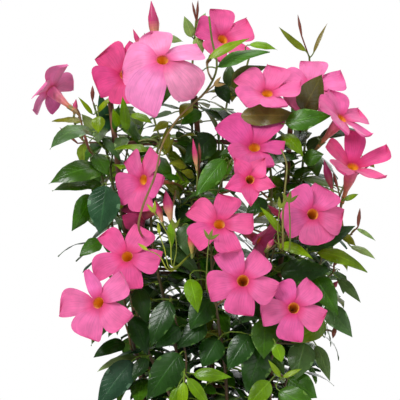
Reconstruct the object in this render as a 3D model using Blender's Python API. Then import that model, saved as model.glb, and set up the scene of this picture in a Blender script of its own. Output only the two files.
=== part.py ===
# A pink mandevilla with its fan trellis and its pot. Lengths in the lists are millimetres.
# X runs to the right, Y away from the viewer, Z up from the ground the pot stands on.

import math
import random

import bmesh
import bpy
import numpy as np
from mathutils import Quaternion, Vector
from mathutils.bvhtree import BVHTree

MM = 0.001
GAP = 0.3

# Pot and soil
POT_HEIGHT = 175.0
POT_TOP_RADIUS = 95.0
POT_BASE_RADIUS = 70.0
POT_WALL = 4.0
POT_FLOOR = 6.0
RIM_HEIGHT = 18.0
RIM_PROUD = 4.0
DRAIN_RADIUS = 6.0
DRAIN_RING = 34.0
POT_SIDES = 24
SOIL_TOP = 163.0
ROOT_DEPTH = 40.0
STAKE_DEPTH = 90.0

# Trellis
STAKE_RADIUS = 2.8
CANE_RADIUS = 1.5
WIRE_RADIUS = 0.9

# Plant
VINE_RADIUS = 1.9
TWIG_RADIUS = 1.0
STALK_RADIUS = 0.75
VINE_STEP = 34.0
LEAF_THICK = 1.5
LONG_STATIONS = (0.2, 0.5, 0.8)
SHORT_STATIONS = (0.28, 0.7)
PETAL_THICK = 1.3
CALYX_RADIUS = 2.3
CLEARANCE = 1.1

COLOURS = {
    "clay": (0.50, 0.24, 0.14),
    "soil": (0.06, 0.04, 0.03),
    "stake": (0.22, 0.10, 0.06),
    "cane": (0.14, 0.06, 0.04),
    "wire": (0.02, 0.02, 0.02),
    "leaf": (0.06, 0.16, 0.03),
    "petal": (0.80, 0.10, 0.32),
    "bud": (0.62, 0.05, 0.18),
}
ROUGHNESS = {"clay": 0.8, "soil": 0.95, "stake": 0.7, "cane": 0.7, "wire": 0.4, "leaf": 0.35,
             "petal": 0.55, "bud": 0.5}

# The stakes: foot in the soil and tip
STAKES = {
    "stake_left": ((-64, 4), (-101, 4, 500)),
    "stake_middle": ((6, 4), (-15, 4, 505)),
    "stake_right": ((57, 4), (82, 4, 476)),
}

# The bands: height, left end, right end, and how far the middle stands above the ends
BANDS = {
    "band_upper": (456, -122, 92, 3),
    "band_lower": (330, -96, 84, -2),
}

# The lowest rung lies against the front of the stakes
RUNG = [(-82, -0.63, 212), (-20, -0.93, 211), (80, -0.63, 213)]

# Each vine's shoots. The first starts in the soil, the others on an earlier one.
VINES = {
    "vine_left_outer": [
        [(-44, -16, 163), (-58, -24, 200), (-74, -30, 245), (-86, -32, 300), (-94, -28, 350),
         (-104, -24, 405), (-114, -20, 440), (-124, -17, 456), (-135, -15, 467)],
        [(-95, -27, 355), (-108, -34, 385), (-118, -33, 404)],
        [(-120, -18, 450), (-133, -14, 468), (-137, -13, 480)],
    ],
    "vine_left_inner": [
        [(-36, 22, 163), (-56, 24, 220), (-76, 22, 290), (-90, 18, 360), (-101, 14, 430),
         (-110, 14, 468), (-118, 4, 498)],
        [(-97, 15, 405), (-86, 17, 440), (-83, 15, 463), (-82, 2, 480), (-82, -8, 490)],
        [(-101, 14, 430), (-96, 24, 470), (-88, 26, 500)],
    ],
    "vine_arching": [
        [(-14, -8, 163), (-26, -20, 215), (-42, -32, 285), (-56, -38, 345), (-59, -40, 390),
         (-56, -42, 430), (-49, -42, 458), (-25, -38, 489), (-4, -34, 509), (7, -34, 533),
         (2, -36, 560), (-1, -34, 584)],
        [(-49, -42, 458), (-58, -32, 490), (-60, -26, 520), (-57, -24, 545)],
    ],
    "vine_crossing": [
        [(8, -14, 163), (0, -14, 230), (-8, -14, 300), (-14, -14, 360), (-20, -16, 405),
         (-36, -20, 434), (-55, -20, 460), (-72, -16, 459)],
        [(-10, -14, 330), (-34, -18, 348), (-46, -24, 352), (-62, -28, 352)],
        [(-20, -16, 405), (-34, -30, 416), (-48, -34, 418)],
    ],
    "vine_middle": [
        [(-2, 26, 163), (-2, 24, 240), (-10, 20, 320), (-16, 16, 400), (-18, 14, 470),
         (-18, 8, 530), (-14, 4, 582)],
        [(-16, 16, 410), (-3, 15, 424), (8, 4, 440), (9, -8, 460)],
    ],
    "vine_front_middle": [
        [(18, -24, 163), (16, -40, 220), (8, -52, 280), (2, -56, 330), (2, -52, 380),
         (14, -44, 425), (28, -38, 450)],
        [(3, -55, 345), (-14, -62, 352), (-30, -66, 370), (-38, -68, 380)],
        [(2, -52, 385), (-8, -54, 400), (-14, -56, 414)],
    ],
    "vine_right_inner": [
        [(36, -10, 163), (44, -16, 220), (52, -22, 290), (58, -26, 350), (62, -26, 410),
         (56, -22, 460), (40, -14, 495), (18, -8, 512)],
        [(55, -24, 320), (64, -44, 350), (69, -56, 375), (74, -60, 400)],
        [(60, -25, 435), (74, -36, 462)],
        [(30, -11, 503), (36, -8, 530), (40, -8, 545)],
    ],
    "vine_right_outer": [
        [(46, 22, 163), (62, 20, 230), (78, 16, 300), (88, 14, 370), (94, 14, 430),
         (99, 23, 475), (103, 22, 512), (101, 4, 546)],
        [(92, 12, 410), (102, -8, 440), (112, -20, 462)],
        [(94, 12, 430), (84, -6, 425), (78, -18, 428)],
        [(96, 12, 455), (90, -16, 474), (84, -34, 482)],
    ],
    "vine_right_far": [
        [(56, -18, 163), (76, -26, 215), (92, -32, 270), (106, -34, 320), (116, -34, 360),
         (128, -32, 398), (136, -30, 418)],
        [(112, -34, 345), (126, -28, 358), (143, -26, 366)],
        [(104, -34, 315), (118, -30, 322), (126, -28, 330)],
        [(110, -34, 338), (98, -44, 348)],
    ],
    "vine_lower_left": [
        [(-22, -34, 163), (-40, -50, 205), (-60, -52, 245), (-72, -48, 285), (-84, -48, 315)],
        [(-44, -50, 214), (-64, -44, 236), (-80, -36, 252)],
        [(-30, -42, 182), (-26, -62, 215), (-24, -66, 245), (-34, -64, 280), (-40, -62, 305)],
    ],
    "vine_lower_right": [
        [(30, -38, 163), (46, -56, 205), (60, -62, 240), (68, -56, 268), (74, -44, 282)],
        [(56, -61, 232), (76, -64, 224)],
        [(66, -61, 258), (94, -52, 258), (112, -44, 270), (124, -38, 268)],
        [(50, -58, 215), (44, -66, 250), (42, -66, 275)],
    ],
    "vine_back_left": [
        [(-24, 42, 163), (-46, 58, 230), (-62, 66, 310), (-72, 62, 390), (-74, 48, 450)],
        [(-62, 66, 310), (-92, 54, 340), (-112, 40, 360)],
    ],
    "vine_back_middle": [
        [(10, 48, 163), (14, 66, 240), (10, 78, 320), (12, 74, 400), (14, 54, 470), (20, 34, 515)],
        [(10, 78, 320), (-16, 82, 360), (-26, 70, 410)],
    ],
    "vine_back_right": [
        [(38, 42, 163), (58, 56, 230), (76, 64, 310), (92, 56, 390), (104, 36, 450)],
        [(76, 64, 310), (104, 52, 340), (126, 34, 352)],
    ],
}

# Blooms: vine, place of the throat, turn to the right, tilt upward, roll, radius, half width of a
# petal, flare of the petals, and how far they curve back
BLOOMS = [
    ("vine_left_outer", (-160, -22, 510), -122, 36, 10, 30, 15, 14, 40),
    ("vine_left_inner", (-86, -8, 527), -14, 4, -10, 34, 17, 14, 20),
    ("vine_arching", (-47, -80, 538), 4, 36, 31, 49, 23, -2, 38),
    ("vine_arching", (13, 4, 563), 22, 28, 20, 34, 17, 24, 20),
    ("vine_right_inner", (57, -52, 506), 2, 46, 0, 36, 18, 26, 25),
    ("vine_right_outer", (103, -20, 513), 4, 36, 18, 36, 18, 16, 30),
    ("vine_right_outer", (131, -62, 481), 50, 43, 4, 34, 16, 18, 20),
    ("vine_right_far", (142, -58, 433), 18, 50, 8, 39, 17, 32, 10),
    ("vine_right_inner", (44, -62, 452), 0, 40, -3, 39, 19, 20, 25),
    ("vine_front_middle", (39, -98, 420), 4, 8, -17, 28, 11, 10, 20),
    ("vine_crossing", (-66, -68, 420), -45, 5, -10, 34, 17, 12, 25),
    ("vine_front_middle", (9, -92, 376), 2, 32, 4, 36, 17, 10, 25),
    ("vine_right_inner", (101, -88, 386), 8, 12, 63, 36, 18.5, 4, 25),
    ("vine_crossing", (-82, -74, 344), -10, 22, -7, 36, 16.5, 8, 25),
    ("vine_lower_left", (-110, -92, 299), -26, 16, -30, 40, 18, 8, 25),
    ("vine_front_middle", (32, -104, 321), 0, 8, -19, 39, 17, 6, 20),
    ("vine_lower_right", (82, -96, 294), 2, 8, -21, 36, 16.5, 6, 20),
    ("vine_crossing", (-66, -44, 384), -120, -20, 0, 24, 10, 50, 15),
    ("vine_right_inner", (48, -66, 360), 68, -30, 20, 27, 13, 24, 20),
]
TUBE_LENGTH = 42.0
THROAT_RADIUS = 6.8
# Rows of a petal: share of its length, then its reach clockwise and the other way, as shares of
# the half width
PETAL_ROWS = [(0.3, 0.56, 0.46), (0.65, 0.91, 0.60), (0.9, 0.62, 0.59)]
# Where its corner tip stands, off to the side
PETAL_TIP = 0.56

# Pink buds: vine, foot, tip, width
BUDS = [
    ("vine_arching", (-54, -30, 556), (-59, -32, 600), 12),
    ("vine_arching", (-68, -40, 549), (-77, -42, 571), 6),
    ("vine_left_outer", (-137, -13, 486), (-135, -14, 502), 6),
    ("vine_front_middle", (-13, -60, 429), (-17, -64, 461), 6),
    ("vine_front_middle", (-39, -78, 380), (-44, -84, 410), 11),
    ("vine_front_middle", (-47, -72, 378), (-54, -76, 400), 7),
    ("vine_front_middle", (-18, -82, 347), (-19, -88, 373), 8),
    ("vine_right_inner", (72, -64, 382), (57, -66, 395), 7),
    ("vine_right_inner", (56, -84, 352), (63, -88, 362), 6),
    ("vine_right_far", (121, -60, 411), (113, -64, 440), 9),
    ("vine_right_far", (121, -38, 311), (128, -40, 319), 6),
]

# Small brown or green buds that stay one with their vine: foot, tip, width
TIPS = {
    "vine_left_outer": [
        ((-133, -24, 457), (-151, -28, 473), 3.4),
        ((-121, -26, 449), (-128, -30, 472), 3.4),
        ((-131, -5, 486), (-139, -3, 498), 3.0),
    ],
    "vine_left_inner": [((-119, 2, 501), (-119, 2, 516), 5.0)],
    "vine_arching": [
        ((-65, -26, 550), (-66, -26, 568), 3.6),
        ((-61, -24, 550), (-63, -20, 561), 3.0),
    ],
    "vine_middle": [
        ((-14, 4, 583), (-18, 2, 601), 2.8),
        ((-13, 4, 583), (-12, 2, 603), 3.0),
    ],
    "vine_front_middle": [((-10, -58, 440), (-11, -58, 457), 3.6)],
    "vine_right_outer": [((93, -2, 566), (89, 0, 588), 3.2)],
    "vine_right_far": [
        ((127, -56, 412), (122, -58, 428), 4.0),
        ((161, -40, 436), (166, -42, 450), 4.6),
        ((148, -38, 373), (150, -40, 392), 4.6),
        ((124, -32, 334), (129, -34, 342), 4.4),
    ],
    "vine_lower_right": [((123, -38, 262), (126, -38, 276), 5.0)],
}

# Leaves seen in the photo: foot (x, z), tip (x, z), width, depth of foot and tip, roll of the
# blade about its length (0 faces the viewer), and how far it bends along its length
LEAVES = {
    "vine_left_outer": [
        ((-119, 465), (-161, 447), 24, (-24, -34), 52, 95),
        ((-129, 480), (-159, 479), 11, (-22, -26), 55, 20),
        ((-107, 430), (-161, 416), 27, (-34, -46), 35, 70),
        ((-108, 414), (-158, 409), 22, (-30, -38), 52, 50),
        ((-120, 405), (-138, 369), 22, (-40, -48), -20, 50),
        ((-103, 414), (-110, 366), 33, (-54, -58), 0, 25),
        ((-109, 360), (-130, 344), 18, (-44, -52), 30, 20),
        ((-99, 376), (-127, 384), 18, (-28, -22), 20, 25),
        ((-117, 446), (-103, 424), 18, (-26, -36), 20, 40),
    ],
    "vine_left_inner": [
        ((-104, 471), (-112, 510), 15, (-2, 0), 25, 12),
        ((-112, 484), (-112, 467), 14, (-30, -34), 8, 10),
        ((-119, 487), (-133, 504), 5, (-2, -4), 20, 15),
        ((-114, 489), (-96, 506), 6, (-2, -6), 25, 40),
        ((-116, 470), (-130, 487), 13, (0, 4), 20, 15),
        ((-84, 470), (-88, 504), 11, (-20, -24), 15, 15),
        ((-80, 486), (-57, 476), 12, (-22, -28), 45, 45),
        ((-92, 474), (-98, 492), 9, (-10, -12), 15, 15),
        ((-108, 462), (-89, 438), 9, (-14, -20), 20, 50),
        ((-98, 470), (-92, 496), 8, (-8, -10), 20, 15),
    ],
    "vine_arching": [
        ((-49, 562), (-27, 560), 11, (-14, -10), 40, 45),
        ((-1, 541), (39, 561), 10, (-52, -48), 25, 35),
        ((8, 533), (60, 548), 17, (-42, -36), 42, 50),
        ((-42, 478), (-57, 468), 10, (-46, -52), 30, 20),
        ((-44, 450), (-42, 474), 9, (-54, -56), 20, 20),
        ((-46, 446), (-36, 463), 7, (-50, -52), 20, 20),
        ((-54, 440), (-64, 452), 6, (-46, -50), 20, 20),
        ((-20, 496), (-29, 480), 14, (-36, -46), 20, 40),
    ],
    "vine_crossing": [
        ((-57, 452), (-84, 440), 12, (-28, -34), 45, 35),
        ((-26, 409), (-68, 406), 14, (-96, -104), 35, 60),
        ((-30, 420), (-50, 423), 8, (-40, -44), 40, 20),
        ((-24, 434), (-41, 437), 11, (-34, -42), 35, 30),
        ((-16, 424), (-29, 429), 10, (-34, -40), 30, 30),
        ((-48, 345), (-64, 335), 7, (-60, -66), 30, 50),
        ((-72, 312), (-62, 277), 19, (-60, -72), 5, 35),
        ((-30, 392), (-16, 372), 13, (-30, -40), 10, 25),
    ],
    "vine_middle": [
        ((-18, 565), (-26, 586), 11, (-2, -4), 5, 15),
        ((-13, 572), (-5, 590), 10, (4, 4), 15, 15),
        ((-14, 564), (-7, 548), 12, (-6, -10), 10, 15),
        ((4, 464), (-26, 437), 28, (-30, -38), 8, 20),
        ((14, 450), (3, 410), 26, (-22, -30), 5, 20),
        ((-10, 492), (-30, 478), 15, (0, -12), 20, 30),
    ],
    "vine_front_middle": [
        ((14, 440), (-14, 404), 22, (-62, -72), 12, 20),
        ((-22, 376), (-22, 345), 24, (-66, -72), 6, 20),
        ((-39, 377), (-38, 352), 8, (-82, -86), 10, 15),
        ((-20, 322), (-12, 289), 18, (-82, -92), 10, 40),
        ((0, 302), (-20, 272), 27, (-70, -76), 10, 20),
        ((-6, 278), (-34, 253), 22, (-78, -86), 8, 30),
        ((20, 352), (34, 338), 14, (-58, -64), 20, 30),
    ],
    "vine_right_inner": [
        ((21, 515), (57, 534), 21, (-22, -30), 30, 60),
        ((19, 515), (20, 538), 13, (-14, -12), 10, 15),
        ((8, 518), (20, 496), 15, (-20, -28), 10, 25),
        ((31, 484), (88, 484), 22, (-50, -54), 190, -30),
        ((73, 465), (93, 443), 15, (-46, -56), 20, 70),
        ((68, 370), (48, 394), 8, (-74, -80), 20, 30),
        ((68, 356), (101, 342), 12, (-78, -90), 28, 65),
        ((74, 384), (103, 361), 9, (-82, -82), 45, 50),
        ((40, 556), (68, 551), 10, (-26, -22), 40, 40),
        ((56, 400), (36, 386), 18, (-44, -52), 20, 25),
        ((70, 328), (120, 330), 25, (-52, -58), 10, 20),
    ],
    "vine_right_outer": [
        ((75, 476), (121, 484), 22, (-62, -66), 20, 25),
        ((93, 491), (112, 528), 29, (-74, -68), 172, 10),
        ((110, 464), (156, 468), 17, (-34, -24), 50, 40),
        ((98, 451), (116, 464), 14, (-18, -16), 10, 20),
        ((94, 440), (114, 446), 17, (-30, -36), 15, 25),
        ((84, 424), (105, 432), 12, (-24, -30), 30, 20),
        ((105, 549), (119, 579), 5, (-2, 2), 35, 20),
        ((97, 551), (70, 575), 8, (-2, -4), 25, -30),
    ],
    "vine_right_far": [
        ((92, 422), (127, 411), 13, (-28, -34), 50, 35),
        ((107, 348), (156, 328), 17, (-58, -64), 35, 60),
        ((97, 352), (145, 374), 20, (-50, -44), 10, 25),
        ((132, 366), (146, 354), 9, (-32, -38), 20, 25),
        ((148, 371), (166, 359), 5, (-28, -34), 20, 45),
        ((142, 353), (167, 340), 9, (-20, -24), 40, 45),
        ((114, 321), (139, 318), 9, (-20, -16), 60, 45),
        ((128, 322), (151, 297), 11, (-30, -36), 15, 55),
        ((103, 326), (127, 285), 24, (-46, -60), 10, 35),
        ((130, 340), (147, 332), 7, (-22, -24), 50, 20),
        ((154, 444), (165, 432), 9, (-30, -34), 20, 20),
        ((136, 398), (150, 404), 6, (-28, -30), 20, 20),
    ],
    "vine_lower_left": [
        ((-85, 257), (-116, 243), 17, (-44, -52), 30, 70),
        ((-74, 243), (-113, 228), 12, (-36, -42), 48, 50),
        ((-78, 240), (-112, 194), 29, (-60, -70), 10, 25),
        ((-76, 236), (-88, 216), 16, (-46, -50), 10, 20),
        ((-63, 243), (-77, 222), 14, (-66, -72), 12, 25),
        ((-30, 248), (-62, 203), 32, (-80, -90), 8, 25),
        ((-24, 240), (-34, 212), 16, (-52, -58), 10, 25),
        ((-40, 300), (-58, 256), 24, (-80, -90), 14, 25),
        ((-76, 284), (-62, 246), 22, (-56, -64), 8, 25),
        ((-16, 229), (21, 226), 14, (-92, -96), 20, 30),
        ((-22, 225), (0, 196), 12, (-96, -102), 12, 20),
        ((-26, 222), (-28, 189), 11, (-112, -116), 10, 20),
        ((-32, 216), (-40, 196), 9, (-104, -106), 10, 20),
        ((-30, 274), (-54, 254), 20, (-70, -76), 12, 20),
    ],
    "vine_lower_right": [
        ((116, 294), (142, 263), 22, (-34, -46), 12, 45),
        ((114, 278), (80, 258), 22, (-58, -66), 12, 20),
        ((55, 282), (53, 243), 28, (-72, -80), 6, 30),
        ((50, 255), (34, 211), 33, (-84, -92), 4, 20),
        ((58, 222), (36, 197), 20, (-100, -106), 8, 20),
        ((69, 226), (57, 243), 6, (-90, -94), 15, 15),
        ((72, 226), (90, 234), 6, (-90, -92), 30, 15),
        ((68, 212), (108, 190), 24, (-86, -96), 12, 25),
        ((94, 258), (85, 222), 28, (-60, -68), 8, 20),
        ((78, 222), (106, 204), 28, (-62, -70), 14, 20),
        ((106, 255), (119, 220), 14, (-52, -60), 12, 35),
        ((64, 258), (70, 240), 13, (-88, -92), 8, 20),
        ((40, 266), (18, 232), 26, (-70, -78), 8, 20),
        ((8, 262), (-8, 234), 26, (-58, -66), 8, 20),
        ((62, 278), (72, 262), 12, (-66, -74), 12, 20),
    ],
}

# Leaf pairs that follow a rule, for the depth, the back and the sides: shoot, from and to as shares
# of its length, pairs, leaf length
PAIRS = {
    "vine_left_outer": [(0, 0.1, 0.5, 2, 50)],
    "vine_left_inner": [(0, 0.25, 0.7, 2, 46)],
    "vine_arching": [(0, 0.1, 0.35, 1, 48)],
    "vine_crossing": [(0, 0.15, 0.5, 2, 46)],
    "vine_middle": [(0, 0.2, 0.8, 4, 46)],
    "vine_right_inner": [(0, 0.15, 0.5, 2, 46)],
    "vine_right_outer": [(0, 0.2, 0.85, 3, 46)],
    "vine_right_far": [(0, 0.1, 0.4, 1, 46)],
    "vine_back_left": [(0, 0.2, 1.0, 5, 54), (1, 0.5, 1.0, 2, 48)],
    "vine_back_middle": [(0, 0.2, 1.0, 6, 54), (1, 0.5, 1.0, 2, 48)],
    "vine_back_right": [(0, 0.2, 1.0, 5, 54), (1, 0.5, 1.0, 2, 48)],
}
TRIES = 24


def clear_scene():
    for old in list(bpy.data.objects):
        bpy.data.objects.remove(old, do_unlink=True)


def unit(vector):
    return vector / np.linalg.norm(vector)


def make_material(name):
    material = bpy.data.materials.new(name)
    material.use_nodes = True
    shader = material.node_tree.nodes["Principled BSDF"]
    shader.inputs["Base Color"].default_value = (*COLOURS[name], 1.0)
    shader.inputs["Roughness"].default_value = ROUGHNESS[name]
    shader.inputs["Metallic"].default_value = 0.0
    material.diffuse_color = (*COLOURS[name], 1.0)
    return material


def make_mesh_object(name, solid, look):
    mesh = bpy.data.meshes.new(name)
    verts, faces = solid
    mesh.from_pydata((np.asarray(verts, dtype=float) * MM).tolist(), [], faces)
    shell = bmesh.new()
    shell.from_mesh(mesh)
    bmesh.ops.recalc_face_normals(shell, faces=shell.faces)
    shell.to_mesh(mesh)
    shell.free()
    item = bpy.data.objects.new(name, mesh)
    bpy.context.scene.collection.objects.link(item)
    if look:
        mesh.materials.append(make_material(look))
        item.data.materials[0].name = f"{name}_{look}"
    return item


def apply_modifiers(item):
    graph = bpy.context.evaluated_depsgraph_get()
    baked = bpy.data.meshes.new_from_object(item.evaluated_get(graph))
    old = item.data
    item.modifiers.clear()
    item.data = baked
    bpy.data.meshes.remove(old)


def join_solids(name, solids, look):
    """One object from overlapping closed solids, joined by one union."""
    item = make_mesh_object(name, solids[0], look)
    group = bpy.data.collections.new(f"{name}_repeats")
    bpy.context.scene.collection.children.link(group)
    for number, solid in enumerate(solids[1:]):
        part = make_mesh_object(f"{name}_repeat_{number}", solid, None)
        bpy.context.scene.collection.objects.unlink(part)
        group.objects.link(part)
    union = item.modifiers.new("union", "BOOLEAN")
    union.operation = "UNION"
    union.operand_type = "COLLECTION"
    union.collection = group
    union.solver = "MANIFOLD"
    apply_modifiers(item)
    for part in list(group.objects):
        bpy.data.objects.remove(part, do_unlink=True)
    bpy.data.collections.remove(group)
    return item


def shade(item, angle=40):
    item.data.shade_smooth()
    item.data.set_sharp_from_angle(angle=math.radians(angle))


# Curves and tubes


def smooth_path(points, step):
    """Points about one step apart on a smooth curve through the given ones."""
    points = [np.array(point, dtype=float) for point in points]
    if len(points) == 2:
        return np.array(points)
    ends = [2 * points[0] - points[1]] + points + [2 * points[-1] - points[-2]]
    result = [points[0]]
    for a, b, c, d in zip(ends, ends[1:], ends[2:], ends[3:]):
        count = max(1, round(np.linalg.norm(c - b) / step))
        for number in range(1, count + 1):
            t = number / count
            square = 2 * a - 5 * b + 4 * c - d
            cube = 3 * b - a - 3 * c + d
            result.append((2 * b + (c - a) * t + square * t**2 + cube * t**3) / 2)
    return np.array(result)


def tube(path, radii, sides):
    """A closed tube along a path, its rings turned as little as they can be."""
    path = np.asarray(path, dtype=float)
    radii = np.broadcast_to(radii, (len(path),))
    tangents = np.gradient(path, axis=0)
    across = None
    verts = []
    for centre, tangent, radius in zip(path, tangents, radii):
        tangent = unit(tangent)
        if across is None:
            across = np.cross(tangent, (0.3, 0.9, 0.2))
        across = unit(across - tangent * np.dot(across, tangent))
        other = np.cross(tangent, across)
        for number in range(sides):
            angle = 2 * math.pi * number / sides
            verts.append(centre + radius * (math.cos(angle) * across + math.sin(angle) * other))
    faces = [list(range(sides))[::-1]]
    faces.append(list(range(len(verts) - sides, len(verts))))
    for ring in range(len(path) - 1):
        for number in range(sides):
            a = ring * sides + number
            b = ring * sides + (number + 1) % sides
            faces.append([a, b, b + sides, a + sides])
    return verts, faces


# Leaves


def leaf_width(v):
    """Half width along the leaf: a round foot, widest at a third, a long drip tip."""
    return v**0.62 * (1 - v) ** 1.1 / 0.325


def leaf_frame(foot, tip, roll):
    """The chord, the blade's upper normal and the direction across it."""
    chord = unit(tip - foot)
    facing = np.array((0.0, -1.0, 0.0))
    facing = unit(facing - chord * np.dot(facing, chord))
    side = np.cross(chord, facing)
    angle = math.radians(roll)
    upward = 1.0 if side[2] >= 0 else -1.0
    normal = math.cos(angle) * facing + upward * math.sin(angle) * side
    return chord, normal, np.cross(chord, normal)


def leaf_rings(spot, foot, tip, width, normal, bend, grow=0.0):
    """Rings of three for the stalk from its spot on the shoot, then for the blade, arched."""
    length = np.linalg.norm(tip - foot)
    chord = unit(tip - foot)
    across = np.cross(chord, normal)
    turn = math.radians(bend) if abs(bend) > 1 else math.radians(1)
    stations = LONG_STATIONS if length > 38 else SHORT_STATIONS
    rings = elbow_rings(spot, foot, chord, normal, STALK_RADIUS + grow)
    for v in stations:
        angle = turn * (v - 0.5)
        along = (math.sin(angle) + math.sin(turn / 2)) / (2 * math.sin(turn / 2))
        rise = (math.cos(angle) - math.cos(turn / 2)) / (2 * math.sin(turn / 2))
        centre = foot + length * (along * chord + rise * normal)
        up = math.cos(angle) * normal + math.sin(angle) * chord
        reach = max((width / 2) * leaf_width(v), STALK_RADIUS) + grow
        wave = 0.035 * width * math.sin(9 * v + 0.1 * length)
        rings.append([centre + up * (LEAF_THICK + grow), centre + across * reach + up * (wave - grow),
                      centre - across * reach - up * (wave + grow)])
    rings.append([tip + chord * grow])
    return rings


def elbow_rings(spot, foot, onward, normal, radius):
    """The stalk's ring at its spot and the one at the foot, which is mitred between the two runs."""
    across = np.cross(onward, normal)
    corners = (normal, 0.87 * across - 0.5 * normal, -0.87 * across - 0.5 * normal)
    whole = Vector(onward).rotation_difference(Vector(unit(foot - spot)))
    half = Quaternion().slerp(whole, 0.5)
    first = [spot + radius * np.array(whole @ Vector(corner)) for corner in corners]
    return [first, [foot + radius * np.array(half @ Vector(corner)) for corner in corners]]


def ring_solid(rings):
    """A closed solid through rings of three that ends in a point or a ring."""
    verts = [point for ring in rings for point in ring]
    faces = [[0, 2, 1]]
    count = len([ring for ring in rings if len(ring) == 3])
    for ring in range(count - 1):
        a = 3 * ring
        # The halves of the upper face split from the edge to the next midrib point
        for edge, rib in ((1, 0), (2, 0), (1, 2)):
            faces.append([a + edge, a + rib, a + 3 + rib])
            faces.append([a + edge, a + 3 + rib, a + 3 + edge])
    last = 3 * (count - 1)
    if len(rings) == count:
        faces.append([last, last + 1, last + 2])
    else:
        for one, two in ((0, 1), (1, 2), (2, 0)):
            faces.append([last + one, last + two, last + 3])
    return verts, faces


# Blooms


def bloom_frame(turn, tilt):
    """The bloom's right, up and facing directions."""
    turn = math.radians(turn)
    tilt = math.radians(tilt)
    facing = np.array((math.sin(turn) * math.cos(tilt), -math.cos(turn) * math.cos(tilt), math.sin(tilt)))
    right = unit(np.cross((0.0, 0.0, 1.0), facing))
    return right, np.cross(facing, right), facing


def bloom_solid(bloom, grow=0.0):
    """A funnel with five sides that opens in five petals, each with its tip off to one side."""
    _, throat, turn, tilt, roll, radius, _, _, _ = bloom
    right, up, facing = bloom_frame(turn, tilt)
    scale = radius / 36.0
    verts = []
    faces = []

    def place(r, angle, w, h):
        out = math.cos(angle) * right + math.sin(angle) * up
        side = math.cos(angle) * up - math.sin(angle) * right
        verts.append(np.array(throat) + r * out + w * side + h * facing)
        return len(verts) - 1

    corners = [math.radians(roll + 72 * k + 36) for k in range(5)]
    middles = [math.radians(roll + 72 * k) for k in range(5)]
    rim = THROAT_RADIUS * scale
    outer = []
    for r, h in ((1.9, -TUBE_LENGTH * scale), (2.6, -28 * scale), (5.4 * scale, -15 * scale), (rim, 0.0)):
        outer.append([place(r + grow, angle, 0, h) for angle in corners])
    wall = 1.1
    inner = [[place(r, angle, 0, h) for angle in corners]
             for r, h in ((rim - wall, 0.6), (5.4 * scale - wall, -14 * scale))]
    deep = place(0, 0, 0, -22 * scale)
    faces.append(outer[0][::-1])
    for low, high in zip(outer[:2], outer[1:3]):
        for k in range(5):
            faces.append([low[k - 1], low[k], high[k], high[k - 1]])
    flat = math.cos(math.radians(36))
    outer_mid = [place(rim * flat + grow, angle, 0, 0) for angle in middles]
    inner_mid = [place((rim - wall) * flat, angle, 0, 0.6) for angle in middles]
    for k in range(5):
        a, b = outer[2][k - 1], outer[2][k]
        c, d, m = outer[3][k - 1], outer[3][k], outer_mid[k]
        faces.extend(([a, m, c], [a, b, m], [b, d, m]))
        a, b = inner[1][k - 1], inner[1][k]
        c, d, n = inner[0][k - 1], inner[0][k], inner_mid[k]
        faces.extend(([a, c, n], [a, n, b], [b, n, d]))
        faces.append([deep, a, b])
        faces.extend(petal_faces(place, middles[k], (outer[3][k - 1], inner[0][k - 1]),
                                 (m, n), (outer[3][k], inner[0][k]), bloom, grow))
    return verts, faces


def petal_faces(place, angle, cw, middle, ccw, bloom, grow):
    """One petal, from its root on the rim to its tip."""
    _, _, _, _, _, radius, half, flare, curl = bloom
    scale = radius / 36.0
    root = THROAT_RADIUS * scale * math.cos(math.radians(36))
    length = radius - root
    faces = []
    below, above = middle
    left, right = cw, ccw
    for v, clockwise, onward in PETAL_ROWS:
        slope = math.radians(flare - curl * v / 2)
        r = root + length * v * math.cos(slope)
        h = length * v * math.sin(slope)
        funnel = 0.59 * THROAT_RADIUS * scale * (1 - v) ** 2
        # Neighbours would meet where the reach passes this line
        fifth = r * math.tan(math.radians(36))
        low = -min(funnel + half * clockwise, fifth) - grow
        high = min(funnel + half * onward, 0.93 * fifth) + grow
        ridge = (low + high) / 2
        twist = math.tan(math.radians(9)) * (high - low) / 2
        new_left = place(r, angle, low, h + 1.0 + twist)
        new_right = place(r, angle, high, h + 1.0 - twist)
        new_above = place(r, angle, ridge, h + PETAL_THICK / 2 + grow)
        new_below = place(r, angle, ridge, h - PETAL_THICK / 2 - grow)
        if isinstance(left, tuple):
            faces.append([left[0], left[1], new_left])
            faces.append([right[1], right[0], new_right])
            faces.extend(([left[1], above, new_above], [left[1], new_above, new_left]))
            faces.extend(([above, right[1], new_above], [right[1], new_right, new_above]))
            faces.extend(([below, left[0], new_below], [left[0], new_left, new_below]))
            faces.extend(([right[0], below, new_below], [right[0], new_below, new_right]))
        else:
            faces.extend(([left, above, new_above], [left, new_above, new_left]))
            faces.extend(([above, right, new_above], [right, new_right, new_above]))
            faces.extend(([below, left, new_below], [left, new_left, new_below]))
            faces.extend(([right, below, new_below], [right, new_below, new_right]))
        left, right, above, below = new_left, new_right, new_above, new_below
    slope = math.radians(flare - curl / 2)
    reach = root + length * math.cos(slope) + grow
    tip = place(reach, angle, PETAL_TIP * half, length * math.sin(slope))
    faces.extend(([above, left, tip], [right, above, tip], [left, below, tip], [below, right, tip]))
    return faces


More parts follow.
